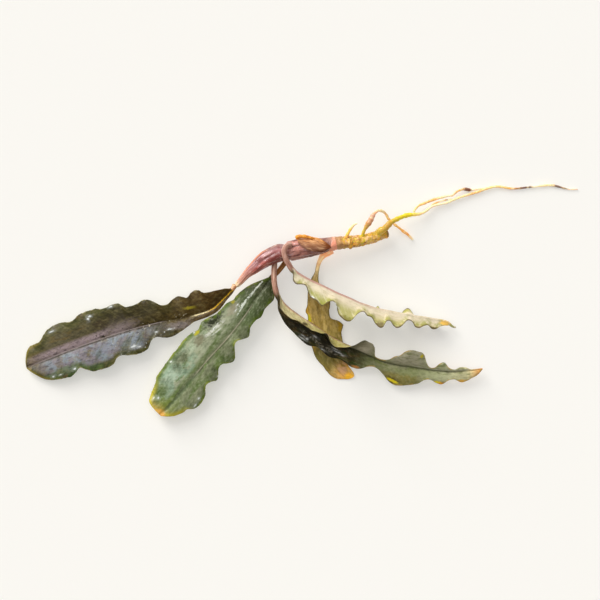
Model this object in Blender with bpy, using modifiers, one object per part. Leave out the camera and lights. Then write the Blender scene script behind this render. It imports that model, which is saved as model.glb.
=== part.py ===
"""A bare-root Bucephalandra cutting lying on a flat surface.

A creeping rhizome carries a sheathed shoot tip, five wavy-edged leaves on their
stalks and four roots. X runs along the cutting towards the root tips, Y towards the
side that the rhizome lies on, Z is up. The origin is under the middle of the cutting.
Lengths are written in millimetres and made metres when a mesh is built.
"""

import math
from collections import namedtuple

import bmesh
import bpy
from mathutils import Vector

# Driving dimensions, in millimetres
MM = 0.001
BLADE_THICKNESS = 0.42
TIP_REACH = 0.12
RHIZOME_RADIUS = 1.8
COLLAR_HEIGHT = 0.16
RING_HEIGHT = 0.10
SCALE_THICKNESS = 0.4
SCALE_FLARE = 0.25
PIECE_GAP = 0.45
ROOT_RADIUS = 0.36

# How a blade's halves bulge, and how their margins lift between two lobes
BULGE = 0.06
RUFFLE_POWER = 2.2
RUFFLE_LIFT = 0.25
RUFFLE_RANGE = (-0.6, 1.8)
RUFFLE_SPAN = (-0.06, -0.04, -0.02, 0.0, 0.02, 0.04, 0.06)
RUFFLE_FULL_REACH = 3.0

# The midrib's thickness under a blade, as shares of the stalk's radius
RIB_AT_TIP = 0.4
RIB_BASE = 0.5
RIB_FADE = 0.03
RIB_SPREAD = 1.2

# Fineness of the faceted solids
STATION_SPACING = 1.1
STALK_STATIONS = 6
HALF_COLUMNS = (0.24, 0.64, 1.0)
PATH_SAMPLES = 240
TIP_DENSITY = 1.15

# One half of a blade. reach: (share of the blade, mm out from the midrib). angle:
# (share, degrees that the half rises from level). ruffle: mm that the margin lifts for
# each mm that it is drawn in between two lobes.
Half = namedtuple("Half", "reach angle ruffle")

# A leaf: its stalk and midrib as points in mm, its halves seen along the midrib, its
# stalk's radius from stem to blade and the share of the blade over which the stalk flattens.
Leaf = namedtuple("Leaf", "node colour stalk midrib right left radius neck")

# The long dark leaf that comes out of the shoot tip, face up
NEWEST = Leaf(
    "leaf_newest", (0.09, 0.08, 0.05),
    stalk=[(-20.3, 4.1, 5.9)],
    midrib=[(-20.9, 3.2, 5.6), (-23.4, 0.6, 4.5), (-27.3, -2.8, 3.3), (-33.6, -5.0, 2.9),
            (-42.0, -6.6, 2.9), (-53.1, -9.4, 2.85), (-66.2, -13.8, 2.5), (-76.0, -17.6, 1.9),
            (-82.7, -20.3, 1.4)],
    right=Half(reach=((0, 1.9), (0.05, 3.7), (0.1, 5.6), (0.125, 6.5), (0.17, 7.25), (0.2, 7.0),
                      (0.225, 6.0), (0.25, 6.5), (0.275, 6.8), (0.3, 6.15), (0.325, 5.1),
                      (0.35, 5.1), (0.375, 6.4), (0.4, 7.5), (0.425, 7.7), (0.45, 7.1), (0.5, 7.1),
                      (0.525, 8.6), (0.55, 8.8), (0.6, 8.6), (0.625, 9.2), (0.7, 9.2), (0.725, 8.4),
                      (0.75, 8.05), (0.775, 8.6), (0.8, 8.8), (0.85, 8.25), (0.875, 7.25),
                      (0.9, 5.9), (0.925, 5.65), (0.95, 5.5), (0.97, 4.6), (0.985, 3.1),
                      (0.995, 1.5), (1, 0.2)),
               angle=((0, 30), (0.18, 10), (0.5, 4), (1, 3)), ruffle=0.8),
    left=Half(reach=((0, 0.8), (0.05, 1.0), (0.1, 1.5), (0.15, 1.6), (0.2, 1.7), (0.225, 1.9),
                     (0.25, 2.65), (0.3, 4.25), (0.325, 4.8), (0.35, 4.95), (0.375, 4.6),
                     (0.4, 4.15), (0.425, 4.8), (0.45, 6.8), (0.475, 7.4), (0.5, 7.6), (0.55, 7.2),
                     (0.575, 6.7), (0.6, 7.0), (0.625, 8.3), (0.65, 8.7), (0.7, 8.6), (0.725, 8.3),
                     (0.75, 7.3), (0.775, 6.15), (0.8, 6.85), (0.825, 7.45), (0.85, 7.3),
                     (0.9, 6.6), (0.925, 6.0), (0.95, 4.85), (0.975, 2.85), (0.99, 1.5), (1, 0.3)),
              angle=((0, 10), (0.2, 6), (0.6, 8), (1, 4)), ruffle=0.8),
    radius=((0, 0.8), (1, 0.7)), neck=0.015)

# The broad green leaf in front, face up, its stalk from under the rhizome
GREEN = Leaf(
    "leaf_green", (0.10, 0.17, 0.07),
    stalk=[(-4.3, 13.2, 3.0), (-5.3, 11.1, 2.7), (-7.6, 8.2, 3.0)],
    midrib=[(-9.3, 6.8, 3.6), (-10.8, 4.8, 4.2), (-13.0, 1.6, 5.0), (-16.8, -4.2, 5.4), (-22.1, -11.1, 5.1),
            (-28.1, -17.7, 4.8), (-34.1, -24.9, 4.4), (-39.3, -31.2, 3.9), (-42.5, -34.6, 3.5)],
    right=Half(reach=((0, 0.3), (0.05, 2.0), (0.1, 3.7), (0.15, 4.9), (0.2, 5.6), (0.225, 5.6),
                      (0.25, 6.3), (0.275, 6.85), (0.35, 7.2), (0.375, 7.6), (0.4, 8.4), (0.45, 9.2),
                      (0.475, 9.0), (0.5, 8.3), (0.525, 8.75), (0.55, 9.3), (0.6, 9.5), (0.65, 9.2),
                      (0.7, 9.3), (0.8, 8.85), (0.85, 8.65), (0.875, 7.8), (0.9, 7.35), (0.95, 6.6),
                      (0.975, 6.0), (0.985, 5.6), (0.9925, 4.9), (0.998, 3.6), (1, 0.3)),
               angle=((0, 8), (0.2, -6), (0.5, -9), (0.8, -6), (1, -3)), ruffle=0.7),
    left=Half(reach=((0, 0.6), (0.025, 1.9), (0.05, 3.3), (0.075, 4.2), (0.1, 4.6), (0.15, 4.0),
                     (0.175, 3.8), (0.2, 4.1), (0.225, 4.2), (0.25, 3.4), (0.3, 3.3), (0.325, 4.3),
                     (0.35, 4.8), (0.375, 3.8), (0.4, 2.6), (0.425, 2.7), (0.45, 4.1), (0.475, 5.7),
                     (0.5, 6.1), (0.525, 5.4), (0.55, 4.0), (0.575, 3.8), (0.6, 4.6), (0.625, 5.8),
                     (0.65, 6.1), (0.675, 4.9), (0.7, 4.3), (0.725, 5.0), (0.75, 6.2), (0.8, 6.8),
                     (0.85, 6.3), (0.875, 4.7), (0.9, 4.4), (0.925, 3.8), (0.95, 3.05), (0.975, 1.8),
                     (1, 0.2)),
              angle=((0, -8), (0.4, -13), (0.7, -11), (1, -4)), ruffle=0.9),
    radius=((0, 0.8), (1, 0.72)), neck=0.02)

# The leaf over the rhizome's front, folded along its midrib, its pale underside up
FOLDED = Leaf(
    "leaf_folded", (0.60, 0.56, 0.25),
    stalk=[(-3.3, 17.2, 10.0), (-4.8, 16.0, 10.4), (-5.45, 14.7, 10.9), (-5.1, 12.6, 10.8),
           (-4.1, 10.6, 10.5)],
    midrib=[(-2.9, 8.8, 10.2), (-0.6, 7.2, 9.9), (4.0, 4.9, 9.6), (12.0, 1.2, 9.3), (20.5, -2.2, 8.1),
            (30.0, -4.2, 6.2), (38.6, -5.6, 4.0), (42.25, -6.2, 3.1), (43.85, -6.9, 2.6),
            (44.9, -7.9, 2.2), (45.8, -8.25, 1.8)],
    right=Half(reach=((0, 1.0), (0.1, 3.4), (0.16, 3.8), (0.25, 5.4), (0.34, 4.9), (0.42, 6.0),
                      (0.5, 4.7), (0.58, 5.6), (0.65, 4.3), (0.72, 4.6), (0.8, 3.0), (0.87, 3.1),
                      (0.93, 1.6), (0.965, 0.6), (1, 0.2)),
               angle=((0, -75), (0.1, -86), (0.52, -86), (0.545, -101), (0.57, -86), (0.68, -86),
                      (0.7, -105), (0.72, -115), (0.745, -108), (0.77, -86), (0.84, -80),
                      (0.93, -50), (1, -35)),
               ruffle=0.6),
    left=Half(reach=((0, 1.0), (0.025, 2.4), (0.05, 3.1), (0.08, 2.6), (0.1, 2.5), (0.125, 3.8),
                     (0.15, 5.0), (0.2, 5.6), (0.232, 6.3), (0.25, 4.8), (0.275, 3.8), (0.3, 4.5),
                     (0.325, 6.4), (0.35, 7.3), (0.375, 7.7), (0.402, 7.0), (0.425, 4.2), (0.45, 3.0),
                     (0.475, 3.6), (0.5, 3.8), (0.525, 5.2), (0.55, 6.2), (0.568, 5.8), (0.58, 4.1),
                     (0.6, 3.8), (0.625, 4.8), (0.65, 5.1), (0.675, 4.1), (0.7, 2.4), (0.725, 2.3),
                     (0.75, 3.6), (0.775, 3.7), (0.8, 2.9), (0.825, 2.5), (0.85, 3.2), (0.875, 3.0),
                     (0.9, 2.1), (0.925, 1.5), (0.95, 1.0), (0.965, 0.5), (1, 0.2)),
              angle=((0, 150), (0.3, 146), (0.7, 148), (0.9, 160), (1, 165)), ruffle=-0.5),
    radius=((0, 0.85), (1, 0.82)), neck=0.03)

# The lower leaf: folded up at its base, it opens and turns its face up
TWISTED = Leaf(
    "leaf_twisted", (0.16, 0.17, 0.06),
    stalk=[(-8.5, 10.0, 4.7), (-8.5, 8.4, 5.9), (-8.4, 5.1, 6.6), (-8.0, 3.0, 6.6)],
    midrib=[(-7.45, 1.2, 6.5), (-6.0, -0.9, 6.3), (-2.1, -4.1, 6.0), (3.5, -7.8, 5.6), (8.9, -11.4, 5.1),
            (14.3, -14.0, 4.4), (19.7, -16.5, 3.7), (25.7, -18.9, 3.2), (34.1, -20.3, 3.2),
            (44.3, -21.5, 3.2), (53.9, -20.6, 2.9)],
    right=Half(reach=((0, 1.0), (0.025, 1.8), (0.05, 2.6), (0.1, 4.2), (0.15, 5.0), (0.2, 5.7),
                      (0.24, 5.8), (0.275, 4.6), (0.3, 4.9), (0.335, 5.5), (0.375, 4.7), (0.4, 4.9),
                      (0.44, 5.4), (0.475, 4.9), (0.5, 3.4), (0.525, 2.5), (0.55, 2.7), (0.575, 3.8),
                      (0.6, 5.4), (0.625, 6.15), (0.65, 6.0), (0.7, 5.2), (0.725, 4.6), (0.75, 3.2),
                      (0.775, 2.9), (0.8, 3.7), (0.825, 3.9), (0.85, 2.6), (0.875, 2.3), (0.9, 3.3),
                      (0.925, 3.1), (0.95, 2.4), (0.975, 1.7), (1, 0.2)),
               angle=((0, 0), (0.3, -6), (0.5, -8), (1, -6)), ruffle=0.6),
    left=Half(reach=((0, 1.0), (0.05, 3.0), (0.1, 4.4), (0.125, 4.6), (0.155, 3.3), (0.2, 5.6),
                     (0.225, 5.4), (0.25, 4.6), (0.275, 5.4), (0.325, 6.2), (0.37, 5.6), (0.4, 6.6),
                     (0.425, 7.4), (0.45, 6.6), (0.475, 6.1), (0.495, 4.2), (0.515, 1.3), (0.54, 1.0),
                     (0.575, 1.9), (0.6, 3.6), (0.625, 4.5), (0.65, 6.2), (0.675, 6.9), (0.7, 6.6),
                     (0.725, 6.0), (0.745, 3.4), (0.765, 1.4), (0.785, 1.5), (0.8, 2.5), (0.825, 3.3),
                     (0.85, 1.6), (0.875, 0.9), (0.9, 1.4), (0.925, 1.2), (0.95, 0.35), (1, 0.2)),
              angle=((0, 112), (0.05, 122), (0.1, 119), (0.125, 112), (0.155, 103), (0.2, 107),
                     (0.225, 102), (0.25, 91), (0.27, 84), (0.3, 102), (0.325, 108), (0.35, 100),
                     (0.375, 90), (0.4, 79), (0.43, 62), (0.5, 54), (0.615, 46), (0.81, 38), (1, 15)),
              ruffle=0.5),
    radius=((0, 0.86), (1, 0.82)), neck=0.05)

# The olive-brown leaf that lies lowest, its stalk a funnel from the pink collar
SHORT = Leaf(
    "leaf_short", (0.26, 0.20, 0.06),
    stalk=[(7.0, 13.5, 3.75), (6.2, 12.9, 3.45), (5.3, 12.0, 3.1), (4.85, 10.9, 2.8)],
    midrib=[(4.5, 9.6, 2.5), (4.2, 7.0, 2.2), (4.0, 4.2, 1.9), (4.6, 0.4, 1.8), (5.9, -6.0, 1.6),
            (6.8, -11.4, 1.4), (9.5, -17.4, 1.08), (15.35, -23.0, 0.55)],
    right=Half(reach=((0, 0.45), (0.05, 1.0), (0.1, 1.65), (0.2, 2.7), (0.25, 3.1), (0.3, 3.6),
                      (0.325, 4.15), (0.35, 4.4), (0.375, 4.05), (0.4, 4.1), (0.45, 4.5),
                      (0.55, 4.5), (0.65, 4.7), (0.7, 4.8), (0.75, 4.4), (0.775, 4.1), (0.8, 4.25),
                      (0.875, 4.3), (0.9, 3.95), (0.925, 3.4), (0.95, 2.6), (0.975, 1.9), (0.99, 1.2),
                      (1, 0.4)),
               angle=((0, 20), (0.3, -4), (1, -8)), ruffle=0.6),
    left=Half(reach=((0, 0.45), (0.1, 0.75), (0.15, 1.5), (0.2, 2.8), (0.25, 3.6), (0.3, 3.5),
                     (0.35, 3.0), (0.375, 2.6), (0.425, 2.5), (0.445, 3.0), (0.46, 4.4), (0.475, 5.3),
                     (0.5, 6.05), (0.525, 5.8), (0.575, 5.2), (0.65, 4.8), (0.75, 4.0), (0.8, 3.2),
                     (0.85, 2.3), (0.9, 1.5), (0.95, 1.1), (0.98, 0.8), (1, 0.3)),
              angle=((0, 20), (0.3, 0), (1, -4)), ruffle=0.5),
    radius=((0, 1.15), (0.35, 0.85), (0.7, 0.66), (1, 0.6)), neck=0.08)


# Curves and profiles

def smooth_value(stops, share):
    """Value at share on a smooth curve through (share, value) stops."""
    if share <= stops[0][0]:
        return stops[0][1]
    if share >= stops[-1][0]:
        return stops[-1][1]
    index = 0
    while stops[index + 1][0] < share:
        index += 1
    start, end = stops[index], stops[index + 1]
    before = stops[max(index - 1, 0)]
    after = stops[min(index + 2, len(stops) - 1)]
    span = end[0] - start[0]
    slope_in = (end[1] - before[1]) / (end[0] - before[0]) * span
    slope_out = (after[1] - start[1]) / (after[0] - start[0]) * span
    t = (share - start[0]) / span
    rest = 1.0 - t
    return ((1 + 2 * t) * rest * rest * start[1] + t * rest * rest * slope_in
            + t * t * (3 - 2 * t) * end[1] - t * t * rest * slope_out)


def smooth_step(value):
    """0 to 1 with a soft start and end."""
    value = min(max(value, 0.0), 1.0)
    return value * value * (3 - 2 * value)


def smooth_path(points):
    """Evenly spaced samples of a smooth curve through the points, and the points' distances."""
    knots = [0.0]
    for first, second in zip(points, points[1:]):
        knots.append(knots[-1] + (Vector(second) - Vector(first)).length)
    axes = [[(knot, point[axis]) for knot, point in zip(knots, points)] for axis in range(3)]
    samples = []
    for step in range(PATH_SAMPLES + 1):
        distance = knots[-1] * step / PATH_SAMPLES
        samples.append(Vector([smooth_value(stops, distance) for stops in axes]))
    return samples, knots


def along(samples, share):
    """Point and unit tangent of a sampled path at a share of its length."""
    place = min(max(share, 0.0), 1.0) * PATH_SAMPLES
    index = min(int(place), PATH_SAMPLES - 1)
    point = samples[index].lerp(samples[index + 1], place - index)
    low = max(index - 2, 0)
    high = min(index + 3, PATH_SAMPLES)
    return point, (samples[high] - samples[low]).normalized()


# Leaves

def section_frame(tangent, right_angle, left_angle):
    """Directions and upper-face normals of both halves at a station."""
    side = tangent.cross(Vector((0, 0, 1))).normalized()
    up = side.cross(tangent)
    right = math.radians(right_angle)
    left = math.radians(left_angle)
    halves = {
        1: (side * math.cos(right) + up * math.sin(right), up * math.cos(right) - side * math.sin(right)),
        -1: (up * math.sin(left) - side * math.cos(left), up * math.cos(left) + side * math.sin(left)),
    }
    middle = (halves[1][1] + halves[-1][1]).normalized()
    return halves, middle, tangent.cross(middle).normalized()


def margin_state(half, share):
    """Reach of a half at a share, and how far it is drawn in below the reach nearby."""
    reach = smooth_value(half.reach, share)
    nearby = [smooth_value(half.reach, share + step) for step in RUFFLE_SPAN]
    drawn = min(max(sum(nearby) / len(nearby) - reach, RUFFLE_RANGE[0]), RUFFLE_RANGE[1])
    return max(reach, TIP_REACH), drawn + RUFFLE_LIFT


def blade_offset(state, half, directions, column, rib, upper):
    """Offset in mm from the midrib to the blade's surface at a column of a half."""
    reach, drawn = state
    outward, face = directions
    out = column * reach
    lift = BULGE * reach * math.sin(math.pi * column)
    lift += half.ruffle * drawn * column ** RUFFLE_POWER * min(1.0, reach / RUFFLE_FULL_REACH)
    thick = 0.5 * BLADE_THICKNESS * (1.0 - column ** 6)
    if upper:
        return outward * out + face * (lift + thick)
    thick += rib * math.exp(-(out / (RIB_SPREAD * rib)) ** 2)
    return outward * out + face * (lift - thick)


def leaf_ring(point, tangent, share, leaf, stalk_radius):
    """One closed section: the upper face from left to right, then the underside back."""
    halves, middle, across = section_frame(
        tangent, smooth_value(leaf.right.angle, share), smooth_value(leaf.left.angle, share))
    on_blade = max(share, 0.0)
    states = {1: margin_state(leaf.right, on_blade), -1: margin_state(leaf.left, on_blade)}
    blade = smooth_step(share / leaf.neck)
    rib = stalk_radius * (RIB_AT_TIP + RIB_BASE * math.exp(-on_blade / RIB_FADE) * (1.0 - on_blade))
    columns = [-value for value in reversed(HALF_COLUMNS)] + [0.0] + list(HALF_COLUMNS)
    ring = []
    for upper, row in ((True, columns), (False, columns[-2:0:-1])):
        for column in row:
            side = 1 if column > 0 else -1
            half = leaf.right if column > 0 else leaf.left
            directions = (halves[side][0], halves[side][1] if column else middle)
            turn = column * math.pi / 2
            rise = math.cos(turn) if upper else -math.cos(turn)
            tube = (across * math.sin(turn) + middle * rise) * stalk_radius
            flat = blade_offset(states[side], half, directions, abs(column), rib, upper)
            ring.append(point + tube.lerp(flat, blade))
    return ring


def loft(name, rings, colour, roughness, collection):
    """A closed solid through rings of equal count, with a face at each end."""
    mesh = bmesh.new()
    grid = [[mesh.verts.new(place * MM) for place in ring] for ring in rings]
    for ring, following in zip(grid, grid[1:]):
        for index in range(len(ring)):
            nearby = (index + 1) % len(ring)
            mesh.faces.new((ring[index], ring[nearby], following[nearby], following[index]))
    mesh.faces.new(grid[0])
    mesh.faces.new(grid[-1])
    bmesh.ops.recalc_face_normals(mesh, faces=mesh.faces)
    data = bpy.data.meshes.new(name)
    mesh.to_mesh(data)
    mesh.free()
    data.shade_smooth()
    return place_object(name, data, colour, roughness, collection)


def leaf_solid(leaf, collection):
    """A leaf blade and its stalk, grown as one piece."""
    samples, knots = smooth_path(leaf.stalk + leaf.midrib)
    joint = knots[len(leaf.stalk)] / knots[-1]
    rings = []
    for step in range(STALK_STATIONS):
        place = joint * step / STALK_STATIONS
        point, tangent = along(samples, place)
        rings.append(leaf_ring(point, tangent, -1.0, leaf, smooth_value(leaf.radius, place / joint)))
    count = round((1.0 - joint) * knots[-1] / STATION_SPACING)
    for step in range(count + 1):
        share = 1.0 - (1.0 - step / count) ** TIP_DENSITY
        point, tangent = along(samples, joint + (1.0 - joint) * share)
        rings.append(leaf_ring(point, tangent, share, leaf, smooth_value(leaf.radius, 1.0)))
    return loft(leaf.node, rings, leaf.colour, 0.35, collection)


# Stem, scale and roots

def tube_curve(name, points, radii, spacing, resolution, collection):
    """A tapering tube with filled caps. radii: (share, mm) stops."""
    samples, knots = smooth_path(points)
    count = max(int(knots[-1] / spacing), 4)
    curve = bpy.data.curves.new(name, "CURVE")
    curve.dimensions = "3D"
    curve.bevel_depth = MM
    curve.bevel_resolution = resolution
    curve.render_resolution_u = 0
    curve.use_fill_caps = True
    spline = curve.splines.new("POLY")
    spline.points.add(count)
    spline.use_smooth = True
    for index, knot in enumerate(spline.points):
        share = index / count
        point, _ = along(samples, share)
        knot.co = (*(point * MM), 1.0)
        knot.radius = smooth_value(radii, share)
    tube = bpy.data.objects.new(name, curve)
    collection.objects.link(tube)
    return tube


def root(name, points, radii, colour, collection):
    """A root as a thin tapering tube."""
    tube = tube_curve(name, points, radii, 1.7, 2, collection)
    tube.data.materials.append(material(name, colour, 0.5))
    return tube


def curve_to_mesh(tube, collection):
    """Replaces a tube by a mesh object of the same shape with welded caps."""
    name = tube.name
    evaluated = tube.evaluated_get(bpy.context.evaluated_depsgraph_get())
    data = bpy.data.meshes.new_from_object(evaluated)
    mesh = bmesh.new()
    mesh.from_mesh(data)
    bmesh.ops.remove_doubles(mesh, verts=mesh.verts, dist=0.01 * MM)
    mesh.to_mesh(data)
    mesh.free()
    solid = bpy.data.objects.new(name + "_solid", data)
    solid.matrix_world = tube.matrix_world
    collection.objects.link(solid)
    bpy.data.objects.remove(tube)
    solid.name = name
    return solid


def raise_nubs(solid, nubs):
    """Pushes the surface out round each (centre, height, width) in mm."""
    normals = [vertex.normal.copy() for vertex in solid.data.vertices]
    for vertex, normal in zip(solid.data.vertices, normals):
        for centre, height, width in nubs:
            distance = (vertex.co / MM - Vector(centre)).length
            vertex.co += normal * height * MM * math.exp(-(distance / width) ** 2)


def scale_leaf(name, axis, wrap, inner, colour, collection):
    """A papery scale: an open curved sheet round the rhizome's upper side, made thick."""
    samples, _ = smooth_path(axis)
    rows = 8
    columns = 6
    mesh = bmesh.new()
    grid = []
    for row in range(rows + 1):
        share = row / rows
        point, tangent = along(samples, share)
        side = tangent.cross(Vector((0, 0, 1))).normalized()
        up = side.cross(tangent)
        low, high = smooth_value(wrap[0], share), smooth_value(wrap[1], share)
        radius = smooth_value(inner, share) + PIECE_GAP + SCALE_THICKNESS / 2
        line = []
        for column in range(columns + 1):
            turn = math.radians(low + (high - low) * column / columns)
            spread = radius + SCALE_FLARE * (1 - column / columns) ** 4
            outward = side * math.cos(turn) + up * math.sin(turn)
            line.append(mesh.verts.new((point + outward * spread) * MM))
        grid.append(line)
    for line, following in zip(grid, grid[1:]):
        for index in range(columns):
            mesh.faces.new((line[index], following[index], following[index + 1], line[index + 1]))
    data = bpy.data.meshes.new(name)
    mesh.to_mesh(data)
    mesh.free()
    data.shade_smooth()
    sheet = place_object(name, data, colour, 0.5, collection)
    thick = sheet.modifiers.new("thickness", "SOLIDIFY")
    thick.thickness = SCALE_THICKNESS * MM
    thick.offset = 0.0
    thick.use_even_offset = True
    return sheet


# Scene helpers

def material(name, colour, roughness):
    """A plain Principled material."""
    paint = bpy.data.materials.new(name)
    paint.use_nodes = True
    shader = paint.node_tree.nodes["Principled BSDF"]
    shader.inputs["Base Color"].default_value = (*colour, 1.0)
    shader.inputs["Roughness"].default_value = roughness
    shader.inputs["Metallic"].default_value = 0.0
    return paint


def place_object(name, data, colour, roughness, collection):
    """Links a mesh as a named object with its own material."""
    piece = bpy.data.objects.new(name, data)
    data.materials.append(material(name, colour, roughness))
    collection.objects.link(piece)
    return piece


def clear_scene():
    """Removes every object of the open scene."""
    for piece in list(bpy.data.objects):
        bpy.data.objects.remove(piece)


# Stem and roots

def rhizome(collection):
    """The creeping stem with its collar, ring scars, root nubs and cut end."""
    axis = [(-5.0, 14.2, 6.7), (-3.2, 14.7, 6.7), (-0.8, 15.3, 6.6), (2.6, 15.7, 6.3), (5.4, 16.2, 5.9),
            (9.8, 16.9, 5.4), (13.4, 17.3, 4.9), (17.3, 17.8, 4.4), (20.9, 18.7, 3.8), (25.8, 20.1, 3.2)]
    girth = ((0.0, 2.7), (0.07, 2.95), (0.15, 2.95), (0.24, 2.65), (0.35, 2.3), (0.48, 1.95),
             (0.60, RHIZOME_RADIUS), (0.73, 1.7), (0.86, 1.55), (1.0, 1.2))
    collar, collar_width = 0.455, 0.030
    rings, ring_width = (0.55, 0.66, 0.75, 0.83, 0.93), 0.012
    radii = []
    for step in range(81):
        share = step / 80
        radius = smooth_value(girth, share)
        radius += COLLAR_HEIGHT * math.exp(-((share - collar) / collar_width) ** 4)
        for ring in rings:
            radius += RING_HEIGHT * math.exp(-((share - ring) / ring_width) ** 2)
        radii.append((share, radius))
    tube = tube_curve("rhizome", axis, radii, 0.8, 4, collection)
    tube.data.materials.append(material("rhizome", (0.35, 0.19, 0.09), 0.5))
    solid = curve_to_mesh(tube, collection)
    raise_nubs(solid, nubs=[((13.9, 16.9, 6.7), 0.5, 0.9), ((14.3, 15.9, 5.9), 0.6, 0.7),
                            ((22.9, 20.4, 4.5), 0.8, 1.2)])


def shoot_sheath(collection):
    """The rolled sheaths of the growing tip, tapering towards the newest leaf."""
    axis = [(-6.1, 14.05, 6.7), (-7.35, 13.9, 6.7), (-11.2, 12.1, 6.7), (-14.25, 9.75, 6.5),
            (-16.5, 7.85, 6.3), (-18.6, 5.5, 6.1), (-19.4, 4.8, 6.0)]
    radii = ((0.0, 2.4), (0.12, 2.6), (0.35, 2.35), (0.58, 1.8), (0.75, 1.3), (0.92, 0.95), (1.0, 0.8))
    tube = tube_curve("shoot_sheath", axis, radii, 1.2, 4, collection)
    tube.data.materials.append(material("shoot_sheath", (0.36, 0.16, 0.14), 0.4))


def orange_scale(collection):
    """The papery orange scale that wraps the thick end of the rhizome."""
    axis = [(-1.3, 15.2, 6.6), (2.6, 15.7, 6.3), (5.4, 16.1, 6.0), (7.6, 16.55, 5.65)]
    wrap = (((0.0, 122), (0.12, 96), (0.3, 74), (0.5, 60), (0.75, 50), (0.9, 58), (1.0, 66)),
            ((0.0, 166), (0.2, 182), (0.45, 174), (0.7, 143), (0.9, 102), (1.0, 80)))
    inner = ((0.0, 2.95), (0.5, 2.65), (1.0, 2.25))
    scale_leaf("scale_leaf", axis, wrap, inner, (0.50, 0.22, 0.04), collection)


def roots(collection):
    """The long root with its side strand, the hooked root and the short one."""
    fine = ROOT_RADIUS
    root("root_long",
         [(24.1, 21.3, 6.1), (26.55, 23.25, 5.6), (28.95, 24.5, 4.8), (31.2, 25.35, 3.9), (33.45, 25.6, 3.1),
          (35.25, 25.8, 2.5), (36.75, 26.55, 2.1), (39.15, 28.2, 1.6), (43.05, 29.1, 1.2), (46.65, 30.6, 1.0),
          (52.05, 32.25, 0.8), (57.8, 34.0, 0.7), (63.2, 33.4, 0.6), (68.6, 33.9, 0.55), (74.7, 34.4, 0.5),
          (79.5, 33.3, 0.38), (82.6, 33.2, 0.26)],
         ((0.0, 0.9), (0.07, 0.75), (0.16, 0.66), (0.22, 0.45), (0.4, fine), (0.66, fine), (0.9, 0.9 * fine),
          (1.0, 0.6 * fine)),
         (0.55, 0.36, 0.06), collection)
    root("root_strand",
         [(33.8, 27.3, 3.0), (34.95, 28.35, 2.6), (36.45, 28.95, 2.3), (40.05, 30.3, 1.7), (43.35, 31.2, 1.5),
          (44.85, 31.4, 1.4), (46.65, 32.7, 1.2), (48.15, 33.2, 1.0), (50.25, 33.1, 0.9), (52.2, 33.4, 0.8)],
         ((0.0, fine), (0.65, fine), (0.8, 1.5 * fine), (0.9, fine), (1.0, 0.8 * fine)),
         (0.58, 0.40, 0.10), collection)
    root("root_hooked",
         [(18.3, 20.5, 6.0), (19.05, 21.9, 6.2), (20.25, 23.7, 6.4), (21.3, 25.6, 6.4), (22.65, 26.7, 6.0),
          (24.15, 26.4, 5.0), (25.05, 25.5, 3.9), (25.75, 24.3, 3.0), (27.15, 22.95, 2.3), (28.95, 21.6, 1.8),
          (31.35, 19.8, 1.0), (33.15, 18.0, 0.5)],
         ((0.0, 0.5), (0.17, 0.85), (0.26, 0.7), (0.34, 0.45), (0.6, 0.4), (0.9, 0.42), (1.0, 0.8 * fine)),
         (0.58, 0.33, 0.10), collection)
    root("root_short",
         [(13.7, 20.0, 6.3), (14.4, 21.3, 6.4), (15.2, 22.3, 6.4), (16.35, 22.95, 6.3)],
         ((0.0, 0.5), (0.5, 0.46), (1.0, 0.8 * fine)),
         (0.58, 0.38, 0.07), collection)


def build():
    clear_scene()
    plant = bpy.data.collections.new("bucephalandra_cutting")
    bpy.context.scene.collection.children.link(plant)
    rhizome(plant)
    shoot_sheath(plant)
    orange_scale(plant)
    for leaf in (NEWEST, GREEN, FOLDED, TWISTED, SHORT):
        leaf_solid(leaf, plant)
    roots(plant)


build()
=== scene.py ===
"""The looks of a bare-root Bucephalandra cutting that lies on a pale surface.

Every piece is remade as a fine mesh in the place of its CAD node, with a procedural
material of its own. Lengths in the tables of form are millimetres in the CAD's frame.
"""

import functools
import math
import operator

from collections import namedtuple

import bmesh
import bpy
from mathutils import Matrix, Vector, noise


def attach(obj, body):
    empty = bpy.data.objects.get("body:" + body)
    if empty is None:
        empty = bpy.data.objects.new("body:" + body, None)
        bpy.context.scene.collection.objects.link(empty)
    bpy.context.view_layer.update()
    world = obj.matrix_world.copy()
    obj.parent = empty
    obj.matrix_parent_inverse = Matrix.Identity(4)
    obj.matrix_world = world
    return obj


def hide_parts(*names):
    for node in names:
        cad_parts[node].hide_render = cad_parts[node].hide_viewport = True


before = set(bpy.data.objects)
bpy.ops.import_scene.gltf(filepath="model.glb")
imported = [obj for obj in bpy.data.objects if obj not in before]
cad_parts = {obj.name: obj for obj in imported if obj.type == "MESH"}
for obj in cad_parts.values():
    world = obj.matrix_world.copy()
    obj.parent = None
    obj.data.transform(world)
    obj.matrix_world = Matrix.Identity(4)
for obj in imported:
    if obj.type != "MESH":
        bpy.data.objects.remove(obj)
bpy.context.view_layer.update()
MM = 0.001

# Fineness: samples of a path, sections along a leaf, points across a half and round a tube,
# and how much closer the points lie towards a blade's margin and tip
PATH_SAMPLES = 600
BLADE_STATIONS = 420
STALK_STATIONS = 60
HALF_COLUMNS = 22
MARGIN_DENSITY = 1.35
TIP_DENSITY = 1.15
TUBE_SIDES = 48

# Blade: thickness, least reach, bulge of each half and ruffle of its margin
BLADE_THICKNESS = 0.38
TIP_REACH = 0.10
BULGE = 0.06
RUFFLE_POWER = 2.2
RUFFLE_LIFT = 0.25
RUFFLE_RANGE = (-0.6, 1.8)
RUFFLE_SPAN = (-0.06, -0.04, -0.02, 0.0, 0.02, 0.04, 0.06)
RUFFLE_FULL_REACH = 3.0

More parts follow.
